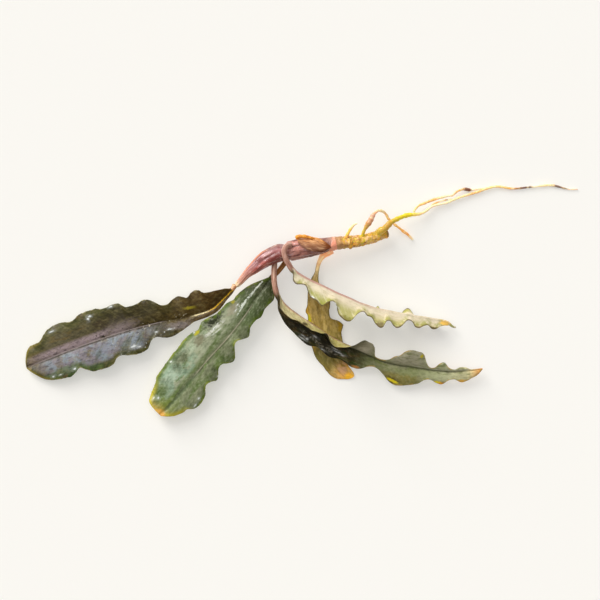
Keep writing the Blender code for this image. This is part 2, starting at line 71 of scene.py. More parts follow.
# Fine relief of a blade: its swells, those between slanting side veins and the groove over the
# midrib in mm, and nicks of the margin as (seed step, waves along the blade, share of the reach).
# Waves are a number for each mm, unless they are said to be along the whole.
SWELL = 0.10
SWELL_WAVES_ALONG = 0.35
SWELL_WAVES_ACROSS = 0.5
VEIN_SWELL = 0.07
VEIN_WAVES = 0.6
VEIN_SLANT = 0.8
GROOVE_DEPTH = 0.30
GROOVE_WIDTH = 0.42
MARGIN_NICKS = ((0, 60, 0.012), (3, 160, 0.010))

# Midrib under a blade, as shares of the stalk's radius, and its width for each mm of height
RIB_AT_TIP = 0.45
RIB_BASE = 0.5
RIB_FADE = 0.03
RIB_TAPER = 0.6
RIB_SPREAD = 1.2

# Stalks and tubes, as shares of their radius
STALK_GRAIN = 0.03
STALK_WAVES = 1.2
TUBE_GRAIN = 0.05
TUBE_WAVES = 0.9
END_ROUNDING = 0.45
END_FACE = 0.02

# The papery scale's sheet: how far its low and high edges stray in degrees, in waves along the
# whole, and its unevenness in mm
SHEET_ROWS = 90
SHEET_COLUMNS = 70
SHEET_GAP = 0.14
SHEET_FLARE = 0.16
SHEET_THICKNESS = 0.22
SHEET_STRAY = (5, 4)
SHEET_WAVES = 9
SHEET_SWELL = 0.10
SHEET_SWELL_WAVES = 5

# Materials: the noise's roughness, how much side veins are drawn out, a zone's soft edge in mm
# and the colour of the roots' darker parts
NOISE_ROUGHNESS = 0.55
VEIN_STRETCH = 0.22
ZONE_EDGE = 0.7
AMBER = 0xF6B866

# The photograph's frame: millimetres for each of its 600 pixels, and the pixel over the origin
MM_PER_PIXEL = 0.3
FRAME_PIXELS = 600
ORIGIN_PIXEL = (302.5, 300.0)
CAMERA_HEIGHT = 1.5
SENSOR_MM = 36.0
FLOOR_HALF = 3.0

# One half of a blade. reach: (share of the blade, mm out from the midrib). angle:
# (share, degrees that the half rises from level). ruffle: mm that the margin lifts for
# each mm that it is drawn in between two lobes.
Half = namedtuple("Half", "reach angle ruffle")

# A leaf: its stalk and midrib as points in mm, its halves seen along the midrib, its
# stalk's radius from stem to blade and the share of the blade over which the stalk flattens.
Leaf = namedtuple("Leaf", "node slot stalk midrib right left radius neck")

# The long dark leaf that comes out of the shoot tip, face up
NEWEST = Leaf(
    "leaf_newest", "leaf_dark",
    stalk=[(-20.2, 4.4, 6)],
    midrib=[(-20.9, 3.2, 5.6), (-23.4, 0.6, 4.5), (-27.3, -2.8, 3.3), (-33.6, -5, 2.9), (-42, -6.6, 2.9),
            (-53.1, -9.4, 2.85), (-66.2, -13.8, 2.5), (-76, -17.6, 1.9), (-82.7, -20.3, 1.4)],
    right=Half(
        reach=((0, 1.9), (0.05, 3.7), (0.1, 5.6), (0.125, 6.5), (0.17, 7.25), (0.2, 7), (0.225, 6),
               (0.25, 6.5), (0.275, 6.8), (0.3, 6.15), (0.325, 5.1), (0.35, 5.1), (0.375, 6.4), (0.4, 7.5),
               (0.425, 7.7), (0.45, 7.1), (0.5, 7.1), (0.525, 8.6), (0.55, 8.8), (0.6, 8.6), (0.625, 9.2),
               (0.7, 9.2), (0.725, 8.4), (0.75, 8.05), (0.775, 8.6), (0.8, 8.8), (0.85, 8.25),
               (0.875, 7.25), (0.9, 5.9), (0.925, 5.65), (0.95, 5.5), (0.97, 4.6), (0.985, 3.1),
               (0.995, 1.5), (1, 0.2)),
        angle=((0, 30), (0.18, 10), (0.5, 4), (1, 3)), ruffle=0.8),
    left=Half(
        reach=((0, 0.8), (0.05, 1), (0.1, 1.5), (0.15, 1.6), (0.2, 1.7), (0.225, 1.9), (0.25, 2.65),
               (0.3, 4.25), (0.325, 4.8), (0.35, 4.95), (0.375, 4.6), (0.4, 4.15), (0.425, 4.8),
               (0.45, 6.8), (0.475, 7.4), (0.5, 7.6), (0.55, 7.2), (0.575, 6.7), (0.6, 7), (0.625, 8.3),
               (0.65, 8.7), (0.7, 8.6), (0.725, 8.3), (0.75, 7.3), (0.775, 6.15), (0.8, 6.85),
               (0.825, 7.45), (0.85, 7.3), (0.9, 6.6), (0.925, 6), (0.95, 4.85), (0.975, 2.85), (0.99, 1.5),
               (1, 0.3)),
        angle=((0, 10), (0.2, 6), (0.6, 8), (1, 4)), ruffle=0.8),
    radius=((0, 0.8), (1, 0.7)), neck=0.015)

# The broad green leaf in front, face up, its stalk from under the rhizome
GREEN = Leaf(
    "leaf_green", "leaf_green",
    stalk=[(-4, 13.9, 4.7), (-4.3, 12.9, 3.3), (-5.3, 11.1, 2.7), (-7.6, 8.2, 3)],
    midrib=[(-9.3, 6.8, 3.6), (-10.8, 4.8, 4.2), (-13, 1.6, 5), (-16.8, -4.2, 5.4), (-22.1, -11.1, 5.1),
            (-28.1, -17.7, 4.8), (-34.1, -24.9, 4.4), (-39.3, -31.2, 3.9), (-42.5, -34.6, 3.5)],
    right=Half(
        reach=((0, 0.3), (0.05, 2), (0.1, 3.7), (0.15, 4.9), (0.2, 5.6), (0.225, 5.6), (0.25, 6.3),
               (0.275, 6.85), (0.35, 7.2), (0.375, 7.6), (0.4, 8.4), (0.45, 9.2), (0.475, 9), (0.5, 8.3),
               (0.525, 8.75), (0.55, 9.3), (0.6, 9.5), (0.65, 9.2), (0.7, 9.3), (0.8, 8.85), (0.85, 8.65),
               (0.875, 7.8), (0.9, 7.35), (0.95, 6.6), (0.975, 6), (0.985, 5.6), (0.9925, 4.9),
               (0.998, 3.6), (1, 0.3)),
        angle=((0, 8), (0.2, -6), (0.5, -9), (0.8, -6), (1, -3)), ruffle=0.7),
    left=Half(
        reach=((0, 0.6), (0.025, 1.9), (0.05, 3.3), (0.075, 4.2), (0.1, 4.6), (0.15, 4), (0.175, 3.8),
               (0.2, 4.1), (0.225, 4.2), (0.25, 3.4), (0.3, 3.3), (0.325, 4.3), (0.35, 4.8), (0.375, 3.8),
               (0.4, 2.6), (0.425, 2.7), (0.45, 4.1), (0.475, 5.7), (0.5, 6.1), (0.525, 5.4), (0.55, 4),
               (0.575, 3.8), (0.6, 4.6), (0.625, 5.8), (0.65, 6.1), (0.675, 4.9), (0.7, 4.3), (0.725, 5),
               (0.75, 6.2), (0.8, 6.8), (0.85, 6.3), (0.875, 4.7), (0.9, 4.4), (0.925, 3.8), (0.95, 3.05),
               (0.975, 1.8), (1, 0.2)),
        angle=((0, -8), (0.4, -13), (0.7, -11), (1, -4)), ruffle=0.9),
    radius=((0, 0.8), (1, 0.72)), neck=0.02)

# The leaf over the rhizome's front, folded along its midrib, its pale underside up
FOLDED = Leaf(
    "leaf_folded", "leaf_pale",
    stalk=[(-3.6, 16.5, 9.4), (-4.8, 16, 10.4), (-5.45, 14.7, 10.9), (-5.1, 12.6, 10.8),
           (-4.1, 10.6, 10.5)],
    midrib=[(-2.9, 8.8, 10.2), (-0.6, 7.2, 9.9), (4, 4.9, 9.6), (12, 1.2, 9.3), (20.5, -2.2, 8.1),
            (30, -4.2, 6.2), (38.6, -5.6, 4), (42.25, -6.2, 3.1), (43.85, -6.9, 2.6), (44.9, -7.9, 2.2),
            (45.8, -8.25, 1.8)],
    right=Half(
        reach=((0, 1), (0.1, 3.4), (0.16, 3.8), (0.25, 5.4), (0.34, 4.9), (0.42, 6), (0.5, 4.7),
               (0.58, 5.6), (0.65, 4.3), (0.72, 4.6), (0.8, 3), (0.87, 3.1), (0.93, 1.6), (0.965, 0.6),
               (1, 0.2)),
        angle=((0, -75), (0.1, -86), (0.52, -86), (0.545, -101), (0.57, -86), (0.68, -86), (0.7, -105),
               (0.72, -115), (0.745, -108), (0.77, -86), (0.84, -80), (0.93, -50), (1, -35)), ruffle=0.6),
    left=Half(
        reach=((0, 1), (0.025, 2.4), (0.05, 3.1), (0.08, 2.6), (0.1, 2.5), (0.125, 3.8), (0.15, 5),
               (0.2, 5.6), (0.232, 6.3), (0.25, 4.8), (0.275, 3.8), (0.3, 4.5), (0.325, 6.4), (0.35, 7.3),
               (0.375, 7.7), (0.402, 7), (0.425, 4.2), (0.45, 3), (0.475, 3.6), (0.5, 3.8), (0.525, 5.2),
               (0.55, 6.2), (0.568, 5.8), (0.58, 4.1), (0.6, 3.8), (0.625, 4.8), (0.65, 5.1), (0.675, 4.1),
               (0.7, 2.4), (0.725, 2.3), (0.75, 3.6), (0.775, 3.7), (0.8, 2.9), (0.825, 2.5), (0.85, 3.2),
               (0.875, 3), (0.9, 2.1), (0.925, 1.5), (0.95, 1), (0.965, 0.5), (1, 0.2)),
        angle=((0, 150), (0.3, 146), (0.7, 148), (0.9, 160), (1, 165)), ruffle=-0.5),
    radius=((0, 0.85), (1, 0.82)), neck=0.03)

# The lower leaf: folded up at its base, it opens and turns its face up
TWISTED = Leaf(
    "leaf_twisted", "leaf_olive",
    stalk=[(-8.3, 11.6, 5.2), (-8.5, 8.4, 5.9), (-8.4, 5.1, 6.6), (-8, 3, 6.6)],
    midrib=[(-7.45, 1.2, 6.5), (-6, -0.9, 6.3), (-2.1, -4.1, 6), (3.5, -7.8, 5.6), (8.9, -11.4, 5.1),
            (14.3, -14, 4.4), (19.7, -16.5, 3.7), (25.7, -18.9, 3.2), (34.1, -20.3, 3.2),
            (44.3, -21.5, 3.2), (53.9, -20.6, 2.9)],
    right=Half(
        reach=((0, 1), (0.025, 1.8), (0.05, 2.6), (0.1, 4.2), (0.15, 5), (0.2, 5.7), (0.24, 5.8),
               (0.275, 4.6), (0.3, 4.9), (0.335, 5.5), (0.375, 4.7), (0.4, 4.9), (0.44, 5.4), (0.475, 4.9),
               (0.5, 3.4), (0.525, 2.5), (0.55, 2.7), (0.575, 3.8), (0.6, 5.4), (0.625, 6.15), (0.65, 6),
               (0.7, 5.2), (0.725, 4.6), (0.75, 3.2), (0.775, 2.9), (0.8, 3.7), (0.825, 3.9), (0.85, 2.6),
               (0.875, 2.3), (0.9, 3.3), (0.925, 3.1), (0.95, 2.4), (0.975, 1.7), (1, 0.2)),
        angle=((0, 0), (0.3, -6), (0.5, -8), (1, -6)), ruffle=0.6),
    left=Half(
        reach=((0, 1), (0.05, 3), (0.1, 4.4), (0.125, 4.6), (0.155, 3.3), (0.2, 5.6), (0.225, 5.4),
               (0.25, 4.6), (0.275, 5.4), (0.325, 6.2), (0.37, 5.6), (0.4, 6.6), (0.425, 7.4), (0.45, 6.6),
               (0.475, 6.1), (0.495, 4.2), (0.515, 1.3), (0.54, 1), (0.575, 1.9), (0.6, 3.6), (0.625, 4.5),
               (0.65, 6.2), (0.675, 6.9), (0.7, 6.6), (0.725, 6), (0.745, 3.4), (0.765, 1.4), (0.785, 1.5),
               (0.8, 2.5), (0.825, 3.3), (0.85, 1.6), (0.875, 0.9), (0.9, 1.4), (0.925, 1.2), (0.95, 0.35),
               (1, 0.2)),
        angle=((0, 112), (0.05, 122), (0.1, 119), (0.125, 112), (0.155, 103), (0.2, 107), (0.225, 102),
               (0.25, 91), (0.27, 84), (0.3, 102), (0.325, 108), (0.35, 100), (0.375, 90), (0.4, 79),
               (0.43, 62), (0.5, 54), (0.615, 46), (0.81, 38), (1, 15)), ruffle=0.5),
    radius=((0, 0.86), (1, 0.82)), neck=0.05)

# The olive-brown leaf that lies lowest, its stalk a funnel from the pink collar
SHORT = Leaf(
    "leaf_short", "leaf_brown",
    stalk=[(8.1, 15.1, 4.8), (7.3, 14.4, 4.4), (6.2, 13.4, 3.8), (5.3, 12, 3.2), (4.85, 10.9, 2.8)],
    midrib=[(4.5, 9.6, 2.5), (4.2, 7, 2.2), (4, 4.2, 1.9), (4.6, 0.4, 1.8), (5.9, -6, 1.6),
            (6.8, -11.4, 1.4), (9.5, -17.4, 1.08), (15.35, -23, 0.55)],
    right=Half(
        reach=((0, 0.45), (0.05, 1), (0.1, 1.65), (0.2, 2.7), (0.25, 3.1), (0.3, 3.6), (0.325, 4.15),
               (0.35, 4.4), (0.375, 4.05), (0.4, 4.1), (0.45, 4.5), (0.55, 4.5), (0.65, 4.7), (0.7, 4.8),
               (0.75, 4.4), (0.775, 4.1), (0.8, 4.25), (0.875, 4.3), (0.9, 3.95), (0.925, 3.4), (0.95, 2.6),
               (0.975, 1.9), (0.99, 1.2), (1, 0.4)),
        angle=((0, 20), (0.3, -4), (1, -8)), ruffle=0.6),
    left=Half(
        reach=((0, 0.45), (0.1, 0.75), (0.15, 1.5), (0.2, 2.8), (0.25, 3.6), (0.3, 3.5), (0.35, 3),
               (0.375, 2.6), (0.425, 2.5), (0.445, 3), (0.46, 4.4), (0.475, 5.3), (0.5, 6.05), (0.525, 5.8),
               (0.575, 5.2), (0.65, 4.8), (0.75, 4), (0.8, 3.2), (0.85, 2.3), (0.9, 1.5), (0.95, 1.1),
               (0.98, 0.8), (1, 0.3)),
        angle=((0, 20), (0.3, 0), (1, -4)), ruffle=0.5),
    radius=((0, 1.7), (0.25, 1.3), (0.5, 0.85), (0.75, 0.66), (1, 0.6)), neck=0.08)

# Curves and profiles

def smooth_value(stops, share):
    """Value at share on a smooth curve through (share, value) stops."""
    if share <= stops[0][0]:
        return stops[0][1]
    if share >= stops[-1][0]:
        return stops[-1][1]
    index = 0
    while stops[index + 1][0] < share:
        index += 1
    start, end = stops[index], stops[index + 1]
    before = stops[max(index - 1, 0)]
    after = stops[min(index + 2, len(stops) - 1)]
    span = end[0] - start[0]
    slope_in = (end[1] - before[1]) / (end[0] - before[0]) * span
    slope_out = (after[1] - start[1]) / (after[0] - start[0]) * span
    t = (share - start[0]) / span
    rest = 1.0 - t
    return ((1 + 2 * t) * rest * rest * start[1] + t * rest * rest * slope_in
            + t * t * (3 - 2 * t) * end[1] - t * t * rest * slope_out)


def smooth_step(value):
    """0 to 1 with a soft start and end."""
    value = min(max(value, 0.0), 1.0)
    return value * value * (3 - 2 * value)


def smooth_path(points):
    """Evenly spaced samples of a smooth curve through the points, and the points' distances."""
    knots = [0.0]
    for first, second in zip(points, points[1:]):
        knots.append(knots[-1] + (Vector(second) - Vector(first)).length)
    axes = [[(knot, point[axis]) for knot, point in zip(knots, points)] for axis in range(3)]
    samples = []
    for step in range(PATH_SAMPLES + 1):
        distance = knots[-1] * step / PATH_SAMPLES
        samples.append(Vector([smooth_value(stops, distance) for stops in axes]))
    return samples, knots


def along(samples, share):
    """Point and unit tangent of a sampled path at a share of its length."""
    place = min(max(share, 0.0), 1.0) * PATH_SAMPLES
    index = min(int(place), PATH_SAMPLES - 1)
    point = samples[index].lerp(samples[index + 1], place - index)
    low = max(index - 5, 0)
    high = min(index + 6, PATH_SAMPLES)
    return point, (samples[high] - samples[low]).normalized()


def wander(seed, *place):
    """Smooth noise from -1 to 1 that differs with the seed."""
    x, y, z = (*place, 0.0, 0.0)[:3]
    return noise.noise(Vector((x + 17.3 * seed, y - 9.1 * seed, z + 3.7 * seed)))


def level_frame(tangent):
    """The level direction to the right of a tangent, and the one up from both."""
    side = tangent.cross(Vector((0, 0, 1))).normalized()
    return side, side.cross(tangent)


def spoke(side, up, turn):
    """The direction at a turn from side towards up."""
    return side * math.cos(turn) + up * math.sin(turn)


# Meshes

def ringed_mesh(name, rings, facts):
    """A closed mesh through rings of equal count. facts: attribute name to values by ring."""
    mesh = bmesh.new()
    layers = {key: mesh.verts.layers.float.new(key) for key in facts}
    grid = []
    for row, ring in enumerate(rings):
        line = []
        for column, place in enumerate(ring):
            vertex = mesh.verts.new(place * MM)
            for key, layer in layers.items():
                vertex[layer] = facts[key][row][column]
            line.append(vertex)
        grid.append(line)
    for ring, following in zip(grid, grid[1:]):
        for index in range(len(ring)):
            nearby = (index + 1) % len(ring)
            mesh.faces.new((ring[index], ring[nearby], following[nearby], following[index]))
    mesh.faces.new(grid[0])
    mesh.faces.new(grid[-1])
    bmesh.ops.recalc_face_normals(mesh, faces=mesh.faces)
    data = bpy.data.meshes.new(name)
    mesh.to_mesh(data)
    mesh.free()
    data.shade_smooth()
    return data


def dress(name, data, paint, node):
    """Links a mesh as a piece of the plant that stands for a CAD node."""
    piece = bpy.data.objects.new(name, data)
    data.materials.append(paint)
    bpy.context.scene.collection.objects.link(piece)
    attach(piece, "root")
    if node:
        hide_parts(node)


# Leaf form

def section_frame(tangent, right_angle, left_angle):
    """Directions and upper-face normals of both halves at a station, then those of the stalk."""
    side, up = level_frame(tangent)
    right, left = math.radians(right_angle), math.radians(left_angle)
    halves = {1: (spoke(side, up, right), spoke(up, -side, right)),
              -1: (spoke(-side, up, left), spoke(up, side, left))}
    middle = (halves[1][1] + halves[-1][1]).normalized()
    return halves, middle, tangent.cross(middle).normalized()


def margin_state(half, share, seed):
    """Reach of a half at a share, and how far it is drawn in below the reach nearby."""
    reach = smooth_value(half.reach, share)
    nearby = [smooth_value(half.reach, share + step) for step in RUFFLE_SPAN]
    drawn = min(max(sum(nearby) / len(nearby) - reach, RUFFLE_RANGE[0]), RUFFLE_RANGE[1])
    ragged = sum((depth * wander(seed + step, share * waves) for step, waves, depth in MARGIN_NICKS), 1.0)
    return max(reach * ragged, TIP_REACH), drawn + RUFFLE_LIFT


def blade_place(point, length, state, ruffle, outward, face, column, stalk_radius, share, sign, seed):
    """Place of one vertex of the blade; sign is 1 on the upper face and -1 beneath."""
    reach, drawn = state
    out = abs(column) * reach
    fade = min(1.0, reach / RUFFLE_FULL_REACH)
    arch = math.sin(math.pi * abs(column))
    lift = BULGE * reach * arch + ruffle * drawn * abs(column) ** RUFFLE_POWER * fade
    lift += SWELL * wander(seed + 5, length * SWELL_WAVES_ALONG,
                           out * SWELL_WAVES_ACROSS * math.copysign(1, column)) * fade
    lift += VEIN_SWELL * wander(seed + 8, (length - VEIN_SLANT * out) * VEIN_WAVES, column) * arch * fade
    thick = 0.5 * BLADE_THICKNESS * (1.0 - abs(column) ** 6)
    if sign > 0:
        thick -= GROOVE_DEPTH * math.exp(-(out / GROOVE_WIDTH) ** 2) * fade
    else:
        rib = stalk_radius * (RIB_AT_TIP + RIB_BASE * math.exp(-share / RIB_FADE)) * (1.0 - RIB_TAPER * share)
        thick += rib * math.exp(-(out / (RIB_SPREAD * rib)) ** 2)
    return point + outward * out + face * (lift + thick * sign)


def leaf_mesh(leaf, seed):
    """The fine mesh of a blade and its stalk, with where each vertex is on the leaf."""
    right, left = leaf.right, leaf.left
    samples, knots = smooth_path(leaf.stalk + leaf.midrib)
    joint = knots[len(leaf.stalk)] / knots[-1]
    outer = [1.0 - (1.0 - step / HALF_COLUMNS) ** MARGIN_DENSITY for step in range(1, HALF_COLUMNS + 1)]
    columns = [-value for value in reversed(outer)] + [0.0] + outer
    stations = [(joint * step / STALK_STATIONS, -1.0) for step in range(STALK_STATIONS)]
    for step in range(BLADE_STATIONS + 1):
        share = 1.0 - (1.0 - step / BLADE_STATIONS) ** TIP_DENSITY
        stations.append((joint + (1.0 - joint) * share, share))
    rings = []
    facts = {"share": [], "length": [], "across": [], "edge": [], "upper": []}
    for place, share in stations:
        point, tangent = along(samples, place)
        halves, middle, across = section_frame(
            tangent, smooth_value(right.angle, share), smooth_value(left.angle, share))
        on_blade = max(share, 0.0)
        states = {1: margin_state(right, on_blade, seed), -1: margin_state(left, on_blade, seed + 11)}
        blade = smooth_step(share / leaf.neck)
        stalk_radius = smooth_value(leaf.radius, place / joint)
        length = (place - joint) * knots[-1]
        grain = 1.0 + STALK_GRAIN * wander(seed, length * STALK_WAVES)
        ring = []
        rows = []
        for sign, row in ((1, columns), (-1, columns[-2:0:-1])):
            for column in row:
                side, ruffle = (1, right.ruffle) if column > 0 else (-1, left.ruffle)
                outward, face = halves[side]
                turn = column * math.pi / 2
                tube = across * math.sin(turn) + middle * math.cos(turn) * sign
                flat = blade_place(point, length, states[side], ruffle, outward, face if column else middle,
                                   column, stalk_radius, on_blade, sign, seed)
                ring.append((point + tube * stalk_radius * grain).lerp(flat, blade))
                reach = states[side][0]
                upper = 0.5 if abs(column) == 1.0 else float(sign > 0)
                rows.append((share if share >= 0 else place / joint - 1.0, length, column * reach,
                             (1.0 - abs(column)) * reach, upper))
        rings.append(ring)
        for values, column in zip(facts.values(), zip(*rows)):
            values.append(column)
    return ringed_mesh(f"{leaf.node}_blade", rings, facts)


# Tubes: stem, sheath and roots

def tube_mesh(name, points, radii, spacing, relief, seed):
    """A tapering tube. relief(share, turn, length) gives mm to add to its radius."""
    samples, knots = smooth_path(points)
    count = int(knots[-1] / spacing)
    turns = [2 * math.pi * index / TUBE_SIDES for index in range(TUBE_SIDES)]
    rings = []
    facts = {"share": [], "length": [], "turn": [], "tilt": []}
    for step in range(count + 1):
        share = step / count
        point, tangent = along(samples, share)
        side, up = level_frame(tangent)
        radius = smooth_value(radii, share)
        length = share * knots[-1]
        edge = min(length, knots[-1] - length) / (END_ROUNDING * radius)
        rounded = math.sqrt(max(1.0 - (1.0 - min(edge, 1.0)) ** 2, END_FACE))
        ring = []
        for turn in turns:
            extra = relief(share, turn, length)
            extra += TUBE_GRAIN * radius * wander(seed, length * TUBE_WAVES, math.cos(turn), math.sin(turn))
            ring.append(point + spoke(side, up, turn) * (radius + extra) * rounded)
        rings.append(ring)
        facts["share"].append([share] * TUBE_SIDES)
        facts["length"].append([length] * TUBE_SIDES)
        facts["turn"].append([math.sin(turn) for turn in turns])
        facts["tilt"].append([math.cos(turn) for turn in turns])
    return ringed_mesh(name, rings, facts)


# Materials

def rgb(shade):
    """A linear colour from a screen colour, 0xRRGGBB."""
    linear = [((value / 255 + 0.055) / 1.055) ** 2.4 if value > 10 else value / 255 / 12.92
              for value in shade.to_bytes(3, "big")]
    return (*linear, 1.0)


class Wire:
    """A number or a colour inside a material. Numbers add, multiply and fade."""

    def __init__(self, paint, socket):
        self.paint = paint
        self.socket = socket

    def __add__(self, other):
        return self.paint.math("ADD", self, other)

    def __sub__(self, other):
        return self.paint.math("SUBTRACT", self, other)

    def __rsub__(self, other):
        return self.paint.math("SUBTRACT", other, self)

    def __mul__(self, other):
        return self.paint.math("MULTIPLY", self, other)

    def __abs__(self):
        return self.paint.math("ABSOLUTE", self)

    def fade(self, start, end, high=1.0):
        """0 where the number is at start, high at end, softly between."""
        sockets = {"Value": self, "From Min": start, "From Max": end, "To Max": high}
        return self.paint.node("MapRange", "Result", sockets, interpolation_type="SMOOTHSTEP")

    def band(self, low, high, soft):
        """1 between low and high, fading over soft on both sides of each."""
        return self.fade(low - soft, low + soft) * self.fade(high + soft, high - soft)


class Paint:
    """A Principled material whose colour is laid on in layers. Its facts are attributes of the mesh."""

    def __init__(self, name, facts=(), ior=1.40):
        self.material = bpy.data.materials.new(name)
        self.material.use_nodes = True
        self.tree = self.material.node_tree
        self.shader = self.tree.nodes["Principled BSDF"]
        self.shader.inputs["IOR"].default_value = ior
        self.colour = None
        for fact in facts:
            setattr(self, fact, self.node("Attribute", "Fac", {}, attribute_name=fact))

    def put(self, socket, value):
        """Links a socket to a wire, or sets its value."""
        if isinstance(value, Wire):
            self.tree.links.new(value.socket, socket)
        else:
            socket.default_value = value

    def node(self, kind, output, sockets, **settings):
        """The named output of a new node with these settings and sockets."""
        node = self.tree.nodes.new("ShaderNode" + kind)
        for key, value in settings.items():
            setattr(node, key, value)
        for key, value in sockets.items():
            self.put(node.inputs[key], value)
        return Wire(self, node.outputs[output])

    def math(self, operation, *numbers):
        return self.node("Math", 0, dict(enumerate(numbers)), operation=operation)

    def noise(self, place, scale, detail=3.0):
        """Noise at a place of three numbers."""
        vector = self.node("CombineXYZ", 0, dict(enumerate(place)))
        sockets = {"Vector": vector, "Scale": scale, "Detail": detail, "Roughness": NOISE_ROUGHNESS}
        return self.node("TexNoise", "Fac", sockets)

    def mix(self, factor, first, second):
        """Colour first where factor is 0, second where it is 1. Either can be a screen colour."""
        shades = [rgb(shade) if isinstance(shade, int) else shade for shade in (first, second)]
        return self.node("Mix", 2, {0: factor, 6: shades[0], 7: shades[1]}, data_type="RGBA")

    def ramp(self, value, *stops):
        """Starts the colour anew, through (position, screen colour) stops."""
        self.colour = self.node("ValToRGB", "Color", {0: value})
        elements = self.colour.socket.node.color_ramp.elements
        while len(elements) < len(stops):
            elements.new(0.5)
        for element, (position, shade) in zip(elements, stops):
            element.position = position
            element.color = rgb(shade)

    def lay(self, shade, *masks, **fades):
        """Lays a shade over the colour, where the product of the masks is 1. A keyword stands
        for the mask that this fact gives when it fades between these values."""
        masks += tuple(getattr(self, fact).fade(*limits) for fact, limits in fades.items())
        self.colour = self.mix(functools.reduce(operator.mul, masks), self.colour, shade)

    def glow(self, strength):
        """Gives off the colour as light: a painted glow on thin tissue, an even brightness on the floor."""
        self.put(self.shader.inputs["Emission Color"], self.colour)
        self.put(self.shader.inputs["Emission Strength"], strength)

    def bump(self, height, strength, distance):
        """Relief up to distance mm high."""
        sockets = {"Strength": strength, "Distance": distance * MM, "Height": height}
        self.put(self.shader.inputs["Normal"], self.node("Bump", "Normal", sockets))

    def finish(self, roughness):
        """Links the colour and the roughness and returns the material."""
        self.put(self.shader.inputs["Base Color"], self.colour)
        self.put(self.shader.inputs["Roughness"], roughness)
        return self.material


class LeafPaint(Paint):
    """A material that knows where it is on a leaf whose blade is span mm long."""

    def __init__(self, name, span, ior=1.40, specular=0.32):
        super().__init__(name, ("share", "length", "across", "edge", "upper"), ior)
        self.shader.inputs["Specular IOR Level"].default_value = specular
        self.span = span
        self.out = abs(self.across)
        self.ragged = self.grain(1.3, 12, 4) - 0.5

    def grain(self, scale, layer=0, detail=3.0):
        """Even noise over the leaf; layer picks another pattern."""
        return self.noise((self.length, self.across, self.upper + layer), scale, detail)

    def streak(self, scale, stretch, layer=0):
        """Noise drawn out along the leaf."""
        return self.noise((self.length * stretch, self.across, self.upper + layer), scale)

    def veins(self, scale, layer=0):
        """Noise drawn out along the side veins, which slant towards the tip."""
        slant = self.length - self.out * VEIN_SLANT
        return self.noise((slant, self.across * VEIN_STRETCH, self.upper + layer), scale)

    def zone(self, first, last, low, high, soft=0.04):
        """1 between two shares of the blade and between low and high mm across."""
        return self.share.band(first, last, soft) * self.across.band(low, high, ZONE_EDGE)

    def stroke(self, start, end, width, soft=0.02):
        """1 on a ragged line between two (share, mm across) places, fading over width mm."""
        slope = (end[1] - start[1]) / (end[0] - start[0])
        line = (self.share - start[0]) * slope + start[1]
        off = abs(self.across - line) + self.ragged * (2.2 * width)
        return off.fade(width, 0.3 * width) * self.share.band(start[0], end[0], soft)

    def spot(self, place, long, wide, ragged=1.6, outer=1.25, inner=0.45):
        """1 in a ragged patch round a (share, mm across) place, with its half sizes in mm."""
        lengthwise = (self.share - place[0]) * (self.span / long)
        crosswise = (self.across - place[1]) * (1.0 / wide)
        distance = self.math("SQRT", lengthwise * lengthwise + crosswise * crosswise)
        return (distance + self.ragged * ragged).fade(outer, inner)

    def dab(self, shade, place, long, wide, amount=1.0):
        """Lays a shade over a spot."""
        self.lay(shade, self.spot(place, long, wide), amount)

    def glints(self, shade, *places):
        """Small wet highlights at (share, mm across, half length, half width)."""
        for share, across, long, wide in places:
            self.lay(shade, self.spot((share, across), 1.5 * long, 1.9 * wide, 2.0, 1.5, 0.2), 0.2)
            self.lay(shade, self.spot((share, across), 0.75 * long, 0.7 * wide, 2.6, 1.2, 0.4), 0.85)

    def specks_and_glints(self, shade, zone, scale, low, layer):
        """Fine specks within a zone: dark ones are the leaf's own, bright ones are painted glints."""
        self.lay(shade, self.grain(scale, layer, 2.0).fade(low, low + 0.06), zone, 0.85)

    def mottle(self, dark, light, amount):
        """Soft dark and light grain, drawn out a little along the leaf and along its veins."""
        along = self.streak(1.7, 0.45, 1)
        slanted = self.veins(1.6, 5)
        self.lay(dark, along.fade(0.54, 0.28, amount))
        self.lay(light, along.fade(0.48, 0.74, 0.8 * amount))
        self.lay(dark, slanted.fade(0.5, 0.74, 0.6 * amount))
        self.lay(light, slanted.fade(0.48, 0.26, 0.5 * amount))

    def midrib(self, first, last, pale, dark):
        """A thin pale line along the midrib, with a dark line of painted shade in the groove to its left."""
        span = self.share.fade(first - 0.03, first + 0.03) * self.share.fade(last + 0.04, last - 0.04)
        groove_shade = self.across.fade(-0.8, -0.35) * self.across.fade(0.1, -0.15)
        # Painted shade: the dark line in the groove to the left of the midrib.
        self.lay(dark, groove_shade, span, self.streak(1.2, 0.4, 8).fade(0.36, 0.5, 0.9))
        on_line = self.across.fade(-0.15, 0.05) * self.across.fade(0.34, 0.12)
        self.lay(pale, on_line, span, 0.7)

    def stalk(self, base, pale, dark, start, end):
        """The stalk's skin, streaked along its length, that fades in between two lengths."""
        line = self.noise((self.length * 0.16, self.across * 2.2, self.upper), 1.5, 4)
        skin = self.mix(line.fade(0.5, 0.62, 0.75), base, pale)
        skin = self.mix(line.fade(0.47, 0.36, 0.75), skin, dark)
        self.colour = self.mix(self.length.fade(start, end), self.colour, skin)

    def surface(self, under, low, high, relief=0.6):
        """Ends the material with its underside, pebbles, faint veins and a patchy gloss."""
        self.colour = self.mix(self.upper, under, self.colour)
        crumples = self.edge.fade(5, 0.5) * self.veins(0.55, 2)
        self.bump(self.grain(1.3, 7, 4) + crumples * 1.6, relief, 0.25)
        return self.finish(self.grain(0.5, 9).fade(0.35, 0.62, high - low) + low)


